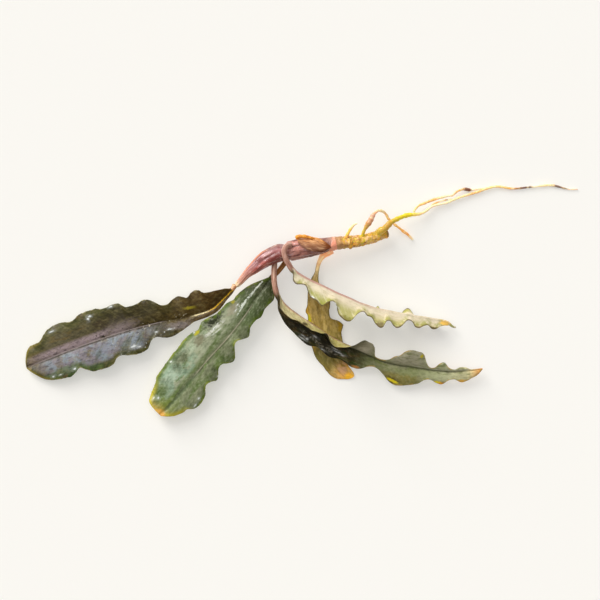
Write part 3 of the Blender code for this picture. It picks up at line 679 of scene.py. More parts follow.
def dark_leaf_paint():
    """The newest leaf: brown, olive margins, a painted mauve-grey sheen on both sides of the midrib."""
    leaf = LeafPaint("leaf_dark", 67.0, 1.42)
    leaf.ramp(leaf.share, (0, 0x96783C), (0.5, 0x82885C), (1, 0xA6A054))
    leaf.mottle(0x646640, 0xB0B082, 0.5)
    under = leaf.colour
    cloud = leaf.grain(0.25, detail=4)
    leaf.ramp(leaf.share, (0, 0x4C3004), (0.18, 0x4E3808), (0.4, 0x42360E), (0.6, 0x4C4422),
              (0.8, 0x60583E), (0.93, 0x645C3E), (1, 0x887232))
    leaf.lay(0x604E22, leaf.streak(0.9, 0.35, 2).fade(0.5, 0.64, 0.7))
    leaf.lay(0x484A16, cloud.fade(0.34, 0.52), edge=(4, 0.6, 0.85), share=(0.2, 0.5))
    leaf.lay(0x48602C, leaf.zone(0.66, 0.97, -8.5, -4.6), cloud.fade(0.36, 0.54, 0.9))
    # Painted sheen: a mauve and blue-grey reflection over the lower half.
    lower = leaf.zone(0.43, 0.95, -6.6, -0.4, 0.1) * leaf.edge.fade(0.6, 2.6)
    leaf.lay(0x827A82, lower, cloud.fade(0.3, 0.5, 0.95))
    leaf.lay(0x849098, lower, leaf.grain(0.3, 4).fade(0.42, 0.6, 0.8))
    leaf.lay(0x545044, leaf.zone(0.35, 0.42, -4.6, -0.4), 0.8)
    leaf.lay(0x50543E, leaf.zone(0.3, 0.7, -7.5, -1.2), leaf.veins(0.5, 3).fade(0.5, 0.62, 0.75))
    # Painted sheen: a bluish patch and a grey-mauve one on the lower half.
    leaf.dab(0x7E8896, (0.63, -3), 4.4, 1.7, 0.5)
    leaf.dab(0x8A7E7C, (0.29, -2), 4, 1.3, 0.6)
    # Painted sheen: a pinkish mauve-grey band above the midrib.
    leaf.lay(0xA89496, leaf.zone(0.52, 0.96, -0.1, 2.3, 0.09), cloud.fade(0.22, 0.45))
    leaf.dab(0x827470, (0.55, 2.6), 6, 2.6, 0.6)
    leaf.dab(0x3C2C14, (0.62, 4.2), 2.6, 1.6, 0.8)
    leaf.lay(0x302800, leaf.zone(0.38, 0.62, 3.4, 8, 0.08), 0.8)
    leaf.dab(0x56663C, (0.84, -5.2), 7, 1.3, 0.75)
    leaf.mottle(0x241E08, 0x786E46, 0.55)
    # Its dark colour is painted shade in the midrib's groove.
    leaf.midrib(0.36, 0.97, 0xA89A96, 0x3A3228)
    leaf.lay(0x94861C, leaf.stroke((0.205, 2.6), (0.25, 2.9), 0.6))
    leaf.lay(0x8C7C24, edge=(1.2, 0.1, 0.85), share=(0.84, 1))
    leaf.lay(0x968A5A, leaf.grain(0.7, 10).fade(0.5, 0.58), edge=(0.35, 0.1))
    leaf.lay(0xDEAC1A, leaf.stroke((-0.1, 0), (0.15, -0.1), 0.26))
    leaf.lay(0xECDAA6, leaf.stroke((0.15, -0.05), (0.22, 0), 0.3))
    leaf.specks_and_glints(0x242018, leaf.zone(0.3, 0.68, -1.4, 1.8), 1, 0.62, 23)
    # Painted glints: bright specks near the midrib and over the lower half.
    leaf.specks_and_glints(0xCEC4AA, leaf.zone(0.2, 0.46, -0.9, 1.2), 1.5, 0.64, 14)
    leaf.specks_and_glints(0xC4C6C2, leaf.zone(0.26, 0.6, -7, -1.4), 1.5, 0.64, 15)
    leaf.glints(0xDEE2E0, (0.658, 7.6, 0.8, 0.3), (0.668, 7, 0.5, 0.5), (0.835, 7.3, 0.9, 0.28),
                (0.395, -2.6, 0.5, 0.25), (0.512, -5.1, 1.1, 0.5), (0.485, -5.7, 0.7, 0.25),
                (0.8, -5.8, 0.7, 0.35), (0.902, -5.5, 0.6, 0.3), (0.868, -5.8, 0.5, 0.18),
                (0.335, -2.6, 1, 0.2), (0.56, 8.4, 0.8, 0.3))
    leaf.stalk(0xE8A876, 0xFAE4BE, 0xBA785C, 0.1, -0.2)
    return leaf.surface(under, 0.28, 0.5)


def green_leaf_paint():
    """The green leaf: a painted pale sheen on its outer half, dark base, yellow rim and tip."""
    leaf = LeafPaint("leaf_green", 54.0, 1.42, specular=0.2)
    leaf.ramp(leaf.share, (0, 0x966E3C), (0.5, 0x9EAA70), (1, 0xCCB658))
    leaf.lay(0x7A884E, leaf.veins(0.8).fade(0.46, 0.66, 0.5))
    under = leaf.colour
    drift = leaf.streak(0.55, 0.35, 3)
    leaf.ramp(leaf.share, (0, 0x282A16), (0.1, 0x4E5438), (0.25, 0x54623A), (0.5, 0x60703E),
              (0.85, 0x62763C), (0.94, 0x808C3C), (1, 0xCEAC4C))
    # Painted sheen: pale grey and teal over the outer half.
    outer = leaf.zone(0.26, 0.9, 1.8, 8.2, 0.1) * leaf.edge.fade(0.2, 2)
    leaf.lay(0x9EA284, outer, drift.fade(0.32, 0.52))
    leaf.lay(0x92AE92, outer, leaf.grain(0.3, 4).fade(0.4, 0.6, 0.8), share=(0.5, 0.68))
    leaf.dab(0xACBEA4, (0.78, 5.2), 4.8, 2, 0.9)
    leaf.dab(0xA8B698, (0.56, 6), 5, 1.5, 0.75)
    leaf.lay(0x848868, leaf.zone(0.3, 0.94, -6, 1.2, 0.1), drift.fade(0.34, 0.56, 0.8))
    leaf.lay(0x42502A, leaf.grain(0.3, 3, 4).fade(0.46, 0.72, 0.6), out=(1, 3))
    leaf.dab(0x4A5230, (0.68, 6.6), 3.4, 1.9, 0.8)
    # Painted shade: a near-black patch on the outer half, by the newest leaf.
    leaf.lay(0x1E2008, leaf.spot((0.39, 7.4), 4.6, 2.5, 1.6, 1.3, 0.5))
    leaf.dab(0x746C50, (0.54, 5.8), 2.4, 1.6, 0.85)
    leaf.dab(0x929674, (0.79, -4.5), 4.5, 1.7, 0.75)
    leaf.dab(0x424A28, (0.12, -2.2), 4, 1.6, 0.6)
    leaf.dab(0x526424, (0.9, 5), 3.2, 2.2, 0.75)
    leaf.mottle(0x34401E, 0xBABE9E, 0.36)
    leaf.dab(0xA0947E, (0.27, 4.2), 3, 1.4, 0.55)
    # Painted highlights: pale wet streaks near the base and on the outer half, broken up by noise.
    highlight_breaks = leaf.grain(1.2, 17).fade(0.36, 0.54)
    for shade, start, end, width in ((0xC6C6B6, (0.36, 4.3), (0.5, 5.2), 0.7),
                                     (0xE2E6D8, (0.03, 1.3), (0.13, 1.9), 0.36),
                                     (0xDEE2D4, (0.13, 1.9), (0.25, 2.7), 0.5),
                                     (0xCED4C2, (0.17, 2.3), (0.31, 1.9), 0.3),
                                     (0xC4C8B4, (0.4, 3.4), (0.47, 4), 0.3)):
        leaf.lay(shade, leaf.stroke(start, end, width), highlight_breaks)
    leaf.lay(0x54681A, leaf.grain(0.5, 21).fade(0.42, 0.58), edge=(1.8, 0.3, 0.85))
    leaf.lay(0x969C28, leaf.grain(0.35, 18).fade(0.46, 0.6), edge=(0.8, 0.1, 0.6))
    leaf.lay(0xCEBE42, edge=(2, 0.3, 0.9), share=(0.82, 0.98))
    leaf.dab(0xB0A628, (0.522, 7.9), 1.2, 0.6)
    leaf.dab(0x968C28, (0.24, 5.4), 0.8, 0.6)
    leaf.dab(0xDCA44A, (0.99, 0.4), 1.2, 1.8)
    leaf.lay(0x4C5C3C, leaf.stroke((0.66, -0.2), (0.96, 0.1), 0.7, 0.04), 0.6)
    # Its dark colour is painted shade in the midrib's groove.
    leaf.midrib(0.2, 0.7, 0xACA28C, 0x48502E)
    leaf.glints(0xE4E8E0, (0.955, 5.1, 0.9, 0.35), (0.935, 4.1, 0.5, 0.4), (0.835, -5.8, 0.8, 0.3),
                (0.79, -5.3, 0.6, 0.3), (0.62, -5.6, 0.6, 0.25), (0.43, 5, 0.9, 0.3),
                (0.27, 3.2, 0.7, 0.22), (0.73, 8.2, 0.5, 0.25), (0.24, 3.7, 0.7, 0.2),
                (0.53, 8.6, 0.4, 0.25))
    leaf.stalk(0x966430, 0xC4925A, 0x644022, 0.8, -0.8)
    return leaf.surface(under, 0.24, 0.46)


def pale_leaf_paint():
    """The folded leaf: cream by its pink keel, yellow green in its lobes, thin brown rim."""
    leaf = LeafPaint("leaf_pale", 53.0)
    stalk = (0xB48472, 0xDEB8A6, 0x8A5C4C, 0.5, -1.5)
    leaf.ramp(leaf.share, (0, 0xF6EACC), (0.16, 0xBCB876), (0.45, 0xB8B072), (0.7, 0xC8BA76),
              (0.88, 0xD2BC64), (0.945, 0xEEC264), (1, 0xCEAA7A))
    leaf.lay(0xE8D8BC, out=(4.2, 1), share=(-0.06, 0.12))
    leaf.lay(0x969836, leaf.grain(0.5, 3).fade(0.38, 0.54, 0.8), edge=(3.2, 0.8))
    leaf.lay(0xB0AA60, leaf.streak(1, 0.3, 2).fade(0.5, 0.68, 0.3))
    leaf.lay(0xE8DEC2, leaf.veins(1.2, 6).fade(0.54, 0.68, 0.4))
    leaf.mottle(0xA09654, 0xECE2C4, 0.22)
    leaf.dab(0x7E704E, (0.555, -5.4), 1.6, 1.6, 0.85)
    leaf.dab(0x60562C, (0.862, -3.1), 1.6, 0.8, 0.9)
    leaf.dab(0x82763E, (0.37, -6.8), 2.2, 0.9, 0.6)
    leaf.lay(0xBA887C, out=(0.44, 0.18), share=(0.66, 0.3, 0.85))
    leaf.dab(0xFAC248, (0.93, -0.7), 1.9, 1, 0.85)
    rim = leaf.edge.fade(0.75, 0.15) * leaf.share.fade(0.95, 0.75, 0.95)
    leaf.lay(0x5C4A30, rim, leaf.grain(0.45, 8, 2).fade(0.26, 0.42))
    leaf.glints(0xF8F8F4, (0.168, -4.7, 0.7, 0.3), (0.305, -4.6, 0.8, 0.3), (0.29, -4, 0.4, 0.25),
                (0.12, -3.9, 0.35, 0.2))
    leaf.stalk(*stalk)
    under = leaf.colour
    leaf.ramp(leaf.share, (0, 0x605A2C), (0.5, 0x96924E), (1, 0xBE9650))
    leaf.mottle(0x645E30, 0xBAB478, 0.5)
    leaf.stalk(*stalk)
    return leaf.surface(under, 0.32, 0.52, 0.35)


def olive_leaf_paint():
    """The twisted leaf: near-black folded base, olive-grey blade, yellow and orange lobes."""
    leaf = LeafPaint("leaf_olive", 66.0, 1.44, specular=0.12)
    stalk = (0xAE806C, 0xDEBEA4, 0x805644, 0.5, -2)
    leaf.ramp(leaf.share, (0, 0xE0D4A8), (0.3, 0xBAAC5C), (0.7, 0xAAA870), (1, 0xD8963C))
    leaf.lay(0x9C944C, leaf.veins(1.1).fade(0.48, 0.64, 0.6))
    leaf.lay(0xE2D6A8, leaf.grain(0.6, 6).fade(0.5, 0.66, 0.5))
    leaf.mottle(0x82763C, 0xE8DEBA, 0.35)
    leaf.lay(0x68502E, edge=(0.45, 0.1, 0.75))
    leaf.lay(0xB28470, out=(0.6, 0.3, 0.75))
    leaf.dab(0x3A2E1A, (0.17, -2.8), 0.9, 1.2, 0.9)
    leaf.stalk(*stalk)
    under = leaf.colour
    cloud = leaf.grain(0.3, detail=4)
    leaf.ramp(leaf.share, (0, 0x463C22), (0.08, 0x28220E), (0.34, 0x221D0C), (0.43, 0x3C391C),
              (0.5, 0x767A4E), (0.7, 0x888E5E), (0.84, 0xBEC094), (0.93, 0xDED6A0), (1, 0xEA983A))
    folded = leaf.share.fade(0.5, 0.42)
    leaf.lay(0x6E5428, folded, leaf.streak(1.2, 0.3, 2).fade(0.5, 0.62, 0.8))
    leaf.lay(0x3A4E16, folded, leaf.streak(0.8, 0.3, 6).fade(0.52, 0.66, 0.7))
    leaf.lay(0xBEB498, leaf.zone(0.42, 0.49, -6.8, -0.8), 0.95)
    leaf.lay(0xBAB298, leaf.zone(0.59, 0.74, -7, -0.8), 0.8)
    opened = leaf.share.fade(0.44, 0.54)
    leaf.lay(0x9C9878, opened, cloud.fade(0.46, 0.6, 0.5))
    leaf.lay(0x6C7438, opened, leaf.streak(0.8, 0.3, 4).fade(0.52, 0.64, 0.65))
    leaf.lay(0x847A3E, leaf.zone(0.56, 0.72, 2.4, 7), cloud.fade(0.36, 0.5, 0.9))
    leaf.lay(0x686242, leaf.zone(0.38, 0.46, -8, -4), 0.6)
    leaf.mottle(0x383418, 0xB0AA86, 0.3)
    leaf.lay(0x1C1608, share=(0.42, 0.34, 0.6))
    leaf.lay(0x4E4C3A, leaf.stroke((0.42, 0), (0.9, 0), 0.4, 0.03), 0.5)
    leaf.lay(0xC4C0A8, leaf.stroke((0.7, -0.8), (0.98, -0.4), 0.5, 0.04), 0.5)
    leaf.lay(0xC4A054, leaf.grain(0.4, 8, 2).fade(0.5, 0.56), edge=(0.5, 0.1, 0.8), share=(0.4, 0.5))
    leaf.dab(0x4A3C16, (0.6, 4.8), 2.6, 1.1, 0.9)
    leaf.lay(0xE2CC28, leaf.stroke((0.59, 4.4), (0.635, 5.4), 0.55, 0.008))
    leaf.dab(0xC48242, (0.46, 4.8), 1.3, 0.5, 0.85)
    leaf.dab(0xD69632, (0.81, 3.7), 1.9, 0.7)
    leaf.dab(0xDECE32, (0.802, 3.4), 0.9, 0.4)
    leaf.dab(0xE4B050, (0.9, 3.1), 1.5, 0.7)
    leaf.dab(0xC0B036, (0.722, -5.2), 0.5, 0.7)
    leaf.dab(0xBEA66A, (0.54, -1), 1.6, 0.6)
    # Painted highlight: a pale line along a wet ridge of the folded base.
    ridge_highlight = leaf.stroke((0.17, 3), (0.36, 3.8), 0.5)
    leaf.lay(0x968E7C, ridge_highlight, leaf.grain(1.1, 19).fade(0.44, 0.58, 0.5))
    # Painted glints: white specks on the dark folded base.
    leaf.specks_and_glints(0xE2E2DC, leaf.zone(0.16, 0.27, 1.4, 4.6), 1.2, 0.67, 14)
    leaf.glints(0xC4C4BE, (0.2, 5, 1.3, 0.25), (0.215, 4.4, 0.5, 0.4), (0.19, 4.2, 0.8, 0.2),
                (0.243, 2.4, 0.8, 0.25), (0.36, 3, 1.8, 0.2), (0.38, 3.3, 0.6, 0.25), (0.06, 1.4, 0.9, 0.2),
                (0.3, 4.4, 0.8, 0.2), (0.34, 2.4, 1.2, 0.15))
    leaf.stalk(*stalk)
    return leaf.surface(under, 0.3, 0.6)


def brown_leaf_paint():
    """The short leaf: olive gold with lengthwise streaks, an orange and pinkish tip."""
    leaf = LeafPaint("leaf_brown", 38.0)
    base = leaf.mix(leaf.length.fade(-2.5, -5.5), 0xFCCE96, 0xFFAE78)
    stalk = (base, 0xFFE2B0, 0xF6B074, 0.5, -3)
    leaf.colour = leaf.mix(leaf.streak(1, 0.2).fade(0.45, 0.65, 0.6), 0xB0A268, 0x8C7E4A)
    leaf.stalk(*stalk)
    under = leaf.colour
    leaf.ramp(leaf.share, (0, 0xFCDEA6), (0.1, 0xC8AC6C), (0.3, 0xAE9048), (0.5, 0xB4984A),
              (0.68, 0x887C36), (0.82, 0x9E843C), (0.9, 0xF0B256), (1, 0xFFB62C))
    leaf.lay(0x7A622C, leaf.streak(1, 0.26).fade(0.46, 0.68, 0.6))
    leaf.lay(0xD6BC76, leaf.streak(1.1, 0.26, 4).fade(0.5, 0.68, 0.5))
    leaf.lay(0xCC9C28, leaf.zone(0.3, 0.66, 1.5, 6, 0.05), edge=(1.6, 0.3, 0.9))
    leaf.lay(0x706A28, leaf.zone(0.66, 0.8, -4, 5, 0.06), leaf.grain(0.5, 2).fade(0.4, 0.58, 0.8))
    leaf.mottle(0x645424, 0xD2B87A, 0.4)
    leaf.lay(0xCE9E78, leaf.zone(0.84, 0.94, -1.6, 1.6), leaf.grain(0.6, 3).fade(0.4, 0.56, 0.8))
    leaf.dab(0xB08C1A, (0.53, -5.2), 3.2, 0.9, 0.8)
    leaf.dab(0xC4B81E, (0.405, 3.7), 1.6, 0.6)
    leaf.dab(0xFFBE30, (0.975, 1), 1.6, 1.6)
    leaf.lay(0x5C4E28, edge=(0.4, 0.1, 0.7), share=(0.9, 0.7))
    leaf.stalk(*stalk)
    # Painted glow: the stalk's base gives off light, as if lit through its thin tissue.
    leaf.glow(leaf.length.fade(4, -2, 0.24))
    return leaf.surface(under, 0.3, 0.5)


def rhizome_paint():
    """The stem: furrowed mauve, a salmon collar, then knobbly tan, gold and lime patches."""
    stem = Paint("rhizome", ("share", "length", "turn", "tilt"))
    share, tilt = stem.share, stem.tilt

    def patches(scale, layer):
        return stem.noise((stem.length + layer, stem.turn * 1.8, tilt * 1.8), scale, 4)

    stem.ramp(share, (0, 0xC48E84), (0.12, 0xC88676), (0.22, 0x8E5E54), (0.3, 0xAA7872), (0.39, 0xA67C6E),
              (0.44, 0xB28270), (0.49, 0xC89466), (0.56, 0xC08E50), (0.62, 0xC89846), (0.8, 0xFAC85C),
              (1, 0xF6B84E))
    young = share.fade(0.42, 0.38)
    furrow = stem.noise((stem.length * 0.2, stem.turn * 3.4, tilt * 3.4), 1, 4)
    stem.lay(0x5C302E, young, furrow.fade(0.48, 0.36, 0.85))
    stem.lay(0xDAB8BC, young, furrow.fade(0.53, 0.66, 0.8))
    left_end = 0.443 - (tilt + 0.4) * 0.03
    clasp = (share - left_end).fade(-0.006, 0.008) * (share + tilt * -0.006).fade(0.486, 0.474)
    blush = patches(0.7, 12)
    stem.lay(0xFFA686, clasp, blush.fade(0.2, 0.4))
    stem.lay(0xFAC2A8, clasp, blush.fade(0.52, 0.64, 0.6))
    stem.lay(0x9C6C3C, patches(0.9, 20).fade(0.5, 0.62, 0.45), share=(0.48, 0.5))
    for layer, shade, low, amount in ((0, 0xBC7A32, 0.52, 0.8), (30, 0xE2CE32, 0.54, 0.8),
                                      (60, 0xFAC896, 0.54, 0.7), (90, 0xFAAC38, 0.54, 0.8),
                                      (120, 0xFADE86, 0.57, 0.75)):
        stem.lay(shade, patches(0.75, layer).fade(low, low + 0.07, amount), share=(0.5, 0.6))
    stem.lay(0xECC43C, blush.fade(0.3, 0.46, 0.85), share=(0.82, 0.88), tilt=(0.3, -0.5))
    stem.lay(0x865A2C, blush.fade(0.4, 0.5, 0.8), share=(0.965, 0.985))
    knobs = patches(1.3, 5)
    stem.bump(knobs + furrow * young, 0.8, 0.4)
    return stem.finish(knobs.fade(0.3, 0.7, 0.55))


def sheath_paint():
    """The shoot tip: dark red furrows, lilac streaks, an orange upper edge, a peach end."""
    sheath = Paint("sheath", ("share", "length", "turn", "side"), ior=1.42)
    side, turn, length = sheath.side, sheath.turn, sheath.length
    sheath.ramp(side, (0, 0xDE8C60), (0.07, 0xD2886A), (0.16, 0xBE8280), (0.5, 0xB87470), (0.72, 0xC86456),
                (0.9, 0xDE8870), (1, 0xBE7462))
    furrow = sheath.noise((length * 0.12, side * 5, turn), 1.3, 4)
    sheath.lay(0x7A3C3A, furrow.fade(0.49, 0.38, 0.85))
    lilac = sheath.noise((length * 0.16, side * 6, 4), 1.5)
    sheath.lay(0xD6B2B4, lilac.fade(0.52, 0.62, 0.75), side=(0.1, 0.22), share=(0.9, 0.6))
    sheath.lay(0xD4BABC, share=(0.13, 0.05, 0.7), side=(0.4, 0.2))
    sheath.lay(0x8C6664, share=(0.42, 0.2, 0.85), side=(0.34, 0.16))
    sheath.lay(0x743832, share=(0.46, 0.24, 0.8), side=(0.3, 0.5))
    sheath.lay(0xE2A88A, share=(0.55, 0.9, 0.7))
    sheath.lay(0xF6D6AA, share=(0.88, 0.97))
    flecks = sheath.noise((length * 0.4, side * 7, turn), 1.6, 4)
    sheath.lay(0xF0CCB6, flecks.fade(0.58, 0.7, 0.45))
    sheath.lay(0x82423A, flecks.fade(0.44, 0.34, 0.5))
    sheath.bump(furrow + flecks * 0.5, 0.7, 0.35)
    return sheath.finish(flecks.fade(0.3, 0.7, 0.5))


def scale_paint():
    """The papery scale: orange above, mauve brown and painted shade below, dark at its point."""
    scale = Paint("scale", ("share", "turn"), ior=1.38)
    # From low edge to high edge: partly the scale's colour, partly painted shade that rounds it.
    scale.ramp(scale.turn, (0, 0x7C5042), (0.22, 0xA06C4E), (0.5, 0xC48A5C), (0.8, 0xDE9A58), (1, 0xEC9C38))
    grain = scale.noise((scale.share * 1.6, scale.turn * 6, 0), 2.2, 4)
    scale.lay(0x8C5630, grain.fade(0.48, 0.6, 0.75))
    scale.lay(0xE8B886, grain.fade(0.47, 0.36, 0.5))
    ragged = scale.share + grain * 0.25
    scale.lay(0x843E0C, ragged.fade(0.84, 1.02, 0.9))
    scale.lay(0x5A2C14, ragged.fade(0.5, 0.8, 0.85), turn=(0.2, 0.05))
    scale.bump(grain, 0.7, 0.3)
    return scale.finish(grain.fade(0.3, 0.7, 0.6))


def roll_paint():
    """The scale's rolled back edge, bright orange with tan creases."""
    roll = Paint("scale_roll", ("length", "turn", "tilt"), ior=1.38)
    crease = roll.noise((roll.length * 0.6, roll.turn * 1.6, roll.tilt), 1.6, 4)
    roll.colour = roll.mix(crease.fade(0.42, 0.6), 0xF6A83A, 0xDE8634)
    roll.lay(0xFCD08C, crease.fade(0.4, 0.3, 0.8))
    roll.bump(crease, 0.6, 0.3)
    return roll.finish(crease.fade(0.25, 0.75, 0.55))


def root_paint(name, *stops):
    """A root: translucent golden skin with a painted glow, amber freckles and darker joints, in stops."""
    root = Paint(name, ("share", "length", "turn"))
    root.ramp(root.share, *stops)
    place = (root.length, root.turn * 1.2)
    blotch = root.noise((*place, 0), 0.8, 4)
    root.lay(AMBER, blotch.fade(0.54, 0.68, 0.35))
    root.lay(0xFEEAB4, root.noise((*place, 5), 0.9).fade(0.46, 0.64, 0.6), share=(0.16, 0.3))
    # Painted glow: the root gives off light, as if lit through its skin.
    root.glow(0.14)
    root.bump(root.noise((*place, 0), 2.2, 4), 0.5, 0.2)
    root.shader.inputs["Subsurface Weight"].default_value = 0.35
    root.shader.inputs["Subsurface Scale"].default_value = 0.8 * MM
    return root.finish(blotch.fade(0.25, 0.75, 0.5))


# Stem and roots

def rhizome():
    """The creeping stem with its collar, ring scars, root nubs and cut end."""
    axis = [(-5, 14.2, 6.7), (-3.2, 14.7, 6.7), (-0.8, 15.3, 6.6), (2.6, 15.7, 6.3), (5.4, 16.2, 5.9),
            (9.8, 16.9, 5.4), (13.4, 17.3, 4.9), (17.3, 17.8, 4.4), (20.9, 18.7, 3.8), (25.8, 20.1, 3.2)]
    girth = ((0, 2.7), (0.07, 2.95), (0.15, 2.95), (0.24, 2.65), (0.35, 2.3), (0.48, 1.95), (0.6, 1.8),
             (0.73, 1.7), (0.86, 1.55), (1, 1.15))
    collar, collar_width, collar_height = 0.455, 0.026, 0.16
    rings, ring_width, ring_height = (0.55, 0.66, 0.75, 0.83, 0.93), 0.008, 0.09
    furrows, furrow_depth, furrow_twist, furrow_end = 9, 0.10, 0.15, 0.40
    old_part, soft = 0.45, 0.1
    knobs = ((7, 0.34, 0.75, 1.4), (9, 0.14, 1.8, 3.0))  # seed, mm, waves along and round

    def relief(share, turn, length):
        extra = collar_height * math.exp(-((share - collar + 0.01 * math.cos(turn)) / collar_width) ** 4)
        for ring in rings:
            bent = share - ring + 0.012 * math.sin(turn + 9 * ring)
            extra += ring_height * math.exp(-(bent / ring_width) ** 2)
        young = smooth_step((furrow_end - share) / soft)
        extra += furrow_depth * young * math.sin(furrows * turn + furrow_twist * length)
        rough = smooth_step((share - old_part) / soft)
        for seed, height, waves, turns in knobs:
            around = (turns * math.cos(turn), turns * math.sin(turn))
            extra += height * rough * wander(seed, length * waves, *around)
        return extra

    data = tube_mesh("rhizome_skin", axis, girth, 0.10, relief, 6)
    nubs = (((13.9, 16.9, 6.7), 0.6, 0.9), ((14.3, 15.9, 5.9), 0.7, 0.7), ((22.9, 20.4, 4.5), 0.9, 1.2))
    normals = [vertex.normal.copy() for vertex in data.vertices]
    for vertex, normal in zip(data.vertices, normals):
        for centre, height, width in nubs:
            distance = (vertex.co / MM - Vector(centre)).length
            vertex.co += normal * height * MM * math.exp(-(distance / width) ** 2)
    dress("rhizome_skin", data, rhizome_paint(), "rhizome")


def shoot_sheath():
    """The rolled sheaths of the growing tip, furrowed along their length."""
    axis = [(-4.6, 14.3, 6.7), (-7.35, 13.9, 6.7), (-11.2, 12.1, 6.7), (-14.25, 9.75, 6.5),
            (-16.5, 7.85, 6.3), (-18.6, 5.5, 6.1), (-19.9, 4.1, 5.9)]
    radii = ((0, 2.4), (0.15, 2.6), (0.37, 2.35), (0.58, 1.8), (0.73, 1.3), (0.9, 0.95), (1, 0.7))

    fold_height, seam_depth, seam_width, seam_turn, seam_twist, taper = 0.09, 0.28, 0.09, 1.1, 1.2, 0.6

    def relief(share, turn, length):
        seam = math.exp(-((math.sin((turn - seam_turn - seam_twist * share) / 2)) / seam_width) ** 2)
        folds = math.sin(7 * turn + 1.6 * share) + 0.6 * math.sin(12 * turn - 2.5 * share)
        return (1.0 - taper * share) * (fold_height * folds - seam_depth * seam)

    data = tube_mesh("sheath_skin", axis, radii, 0.12, relief, 8)
    side = data.attributes.new("side", "FLOAT", "POINT")
    for index in range(len(data.vertices)):
        turn = 2 * math.pi * (index % TUBE_SIDES) / TUBE_SIDES
        side.data[index].value = 0.5 - 0.5 * math.cos(turn)
    dress("sheath_skin", data, sheath_paint(), "shoot_sheath")


def sheet_mesh(name, axis, inner, low_stops, high_stops, seed):
    """A thin sheet round an axis between two turns in degrees, its high edge pressed close."""
    samples, _ = smooth_path(axis)
    rings = []
    facts = {"share": [], "turn": []}
    order = list(range(SHEET_COLUMNS + 1)) + list(range(SHEET_COLUMNS - 1, 0, -1))
    parts = [column / SHEET_COLUMNS for column in order]
    for row in range(SHEET_ROWS + 1):
        share = row / SHEET_ROWS
        point, tangent = along(samples, share)
        side, up = level_frame(tangent)
        low = smooth_value(low_stops, share) + SHEET_STRAY[0] * wander(seed, share * SHEET_WAVES)
        high = smooth_value(high_stops, share) + SHEET_STRAY[1] * wander(seed + 1, share * SHEET_WAVES)
        ring = []
        for index, part in enumerate(parts):
            spread = smooth_value(inner, share) + SHEET_GAP + SHEET_FLARE * (1 - part) ** 4
            spread += SHEET_SWELL * wander(seed + 2, share * SHEET_SWELL_WAVES, part * SHEET_WAVES)
            spread += SHEET_THICKNESS if index <= SHEET_COLUMNS and 0 < part < 1 else 0.0
            ring.append(point + spoke(side, up, math.radians(low + (high - low) * part)) * spread)
        rings.append(ring)
        facts["share"].append([share] * len(parts))
        facts["turn"].append(parts)
    return ringed_mesh(name, rings, facts)


def papery_scale():
    """The orange scale round the rhizome's upper side, its back edge rolled up."""
    skin = sheet_mesh(
        "scale_skin", [(-1.3, 15.2, 6.6), (2.6, 15.7, 6.3), (5.4, 16.1, 6), (7.9, 16.6, 5.6)],
        ((0, 2.95), (0.5, 2.65), (1, 2.2)),
        ((0, 122), (0.12, 96), (0.3, 74), (0.5, 60), (0.75, 50), (0.9, 58), (1, 66)),
        ((0, 168), (0.2, 186), (0.45, 176), (0.7, 144), (0.9, 102), (1, 78)), 21)
    dress("scale_skin", skin, scale_paint(), "scale_leaf")

    def bumps(share, turn, length):
        return 0.05 * math.sin(2.6 * length) + 0.04 * math.sin(5.0 * length + 2 * turn)

    roll = tube_mesh(
        "scale_rim", [(-2, 18.5, 7.7), (-1.2, 18.9, 8.2), (0.4, 19, 8.4), (2, 18.7, 8.3), (3.6, 18.3, 8)],
        ((0, 0.5), (0.15, 0.62), (0.4, 0.52), (0.8, 0.42), (1, 0.2)), 0.1, bumps, 41)
    dress("scale_rim", roll, roll_paint(), None)


def root_thread(name, points, radii, paint, seed, node):
    """A thin root with soft joints along it."""

    def joints(share, turn, length):
        return 0.07 * smooth_value(radii, share) * (math.sin(length * 1.9) + math.sin(length * 4.3 + 1.0))

    dress(name, tube_mesh(name, points, radii, 0.14, joints, seed), paint, node)


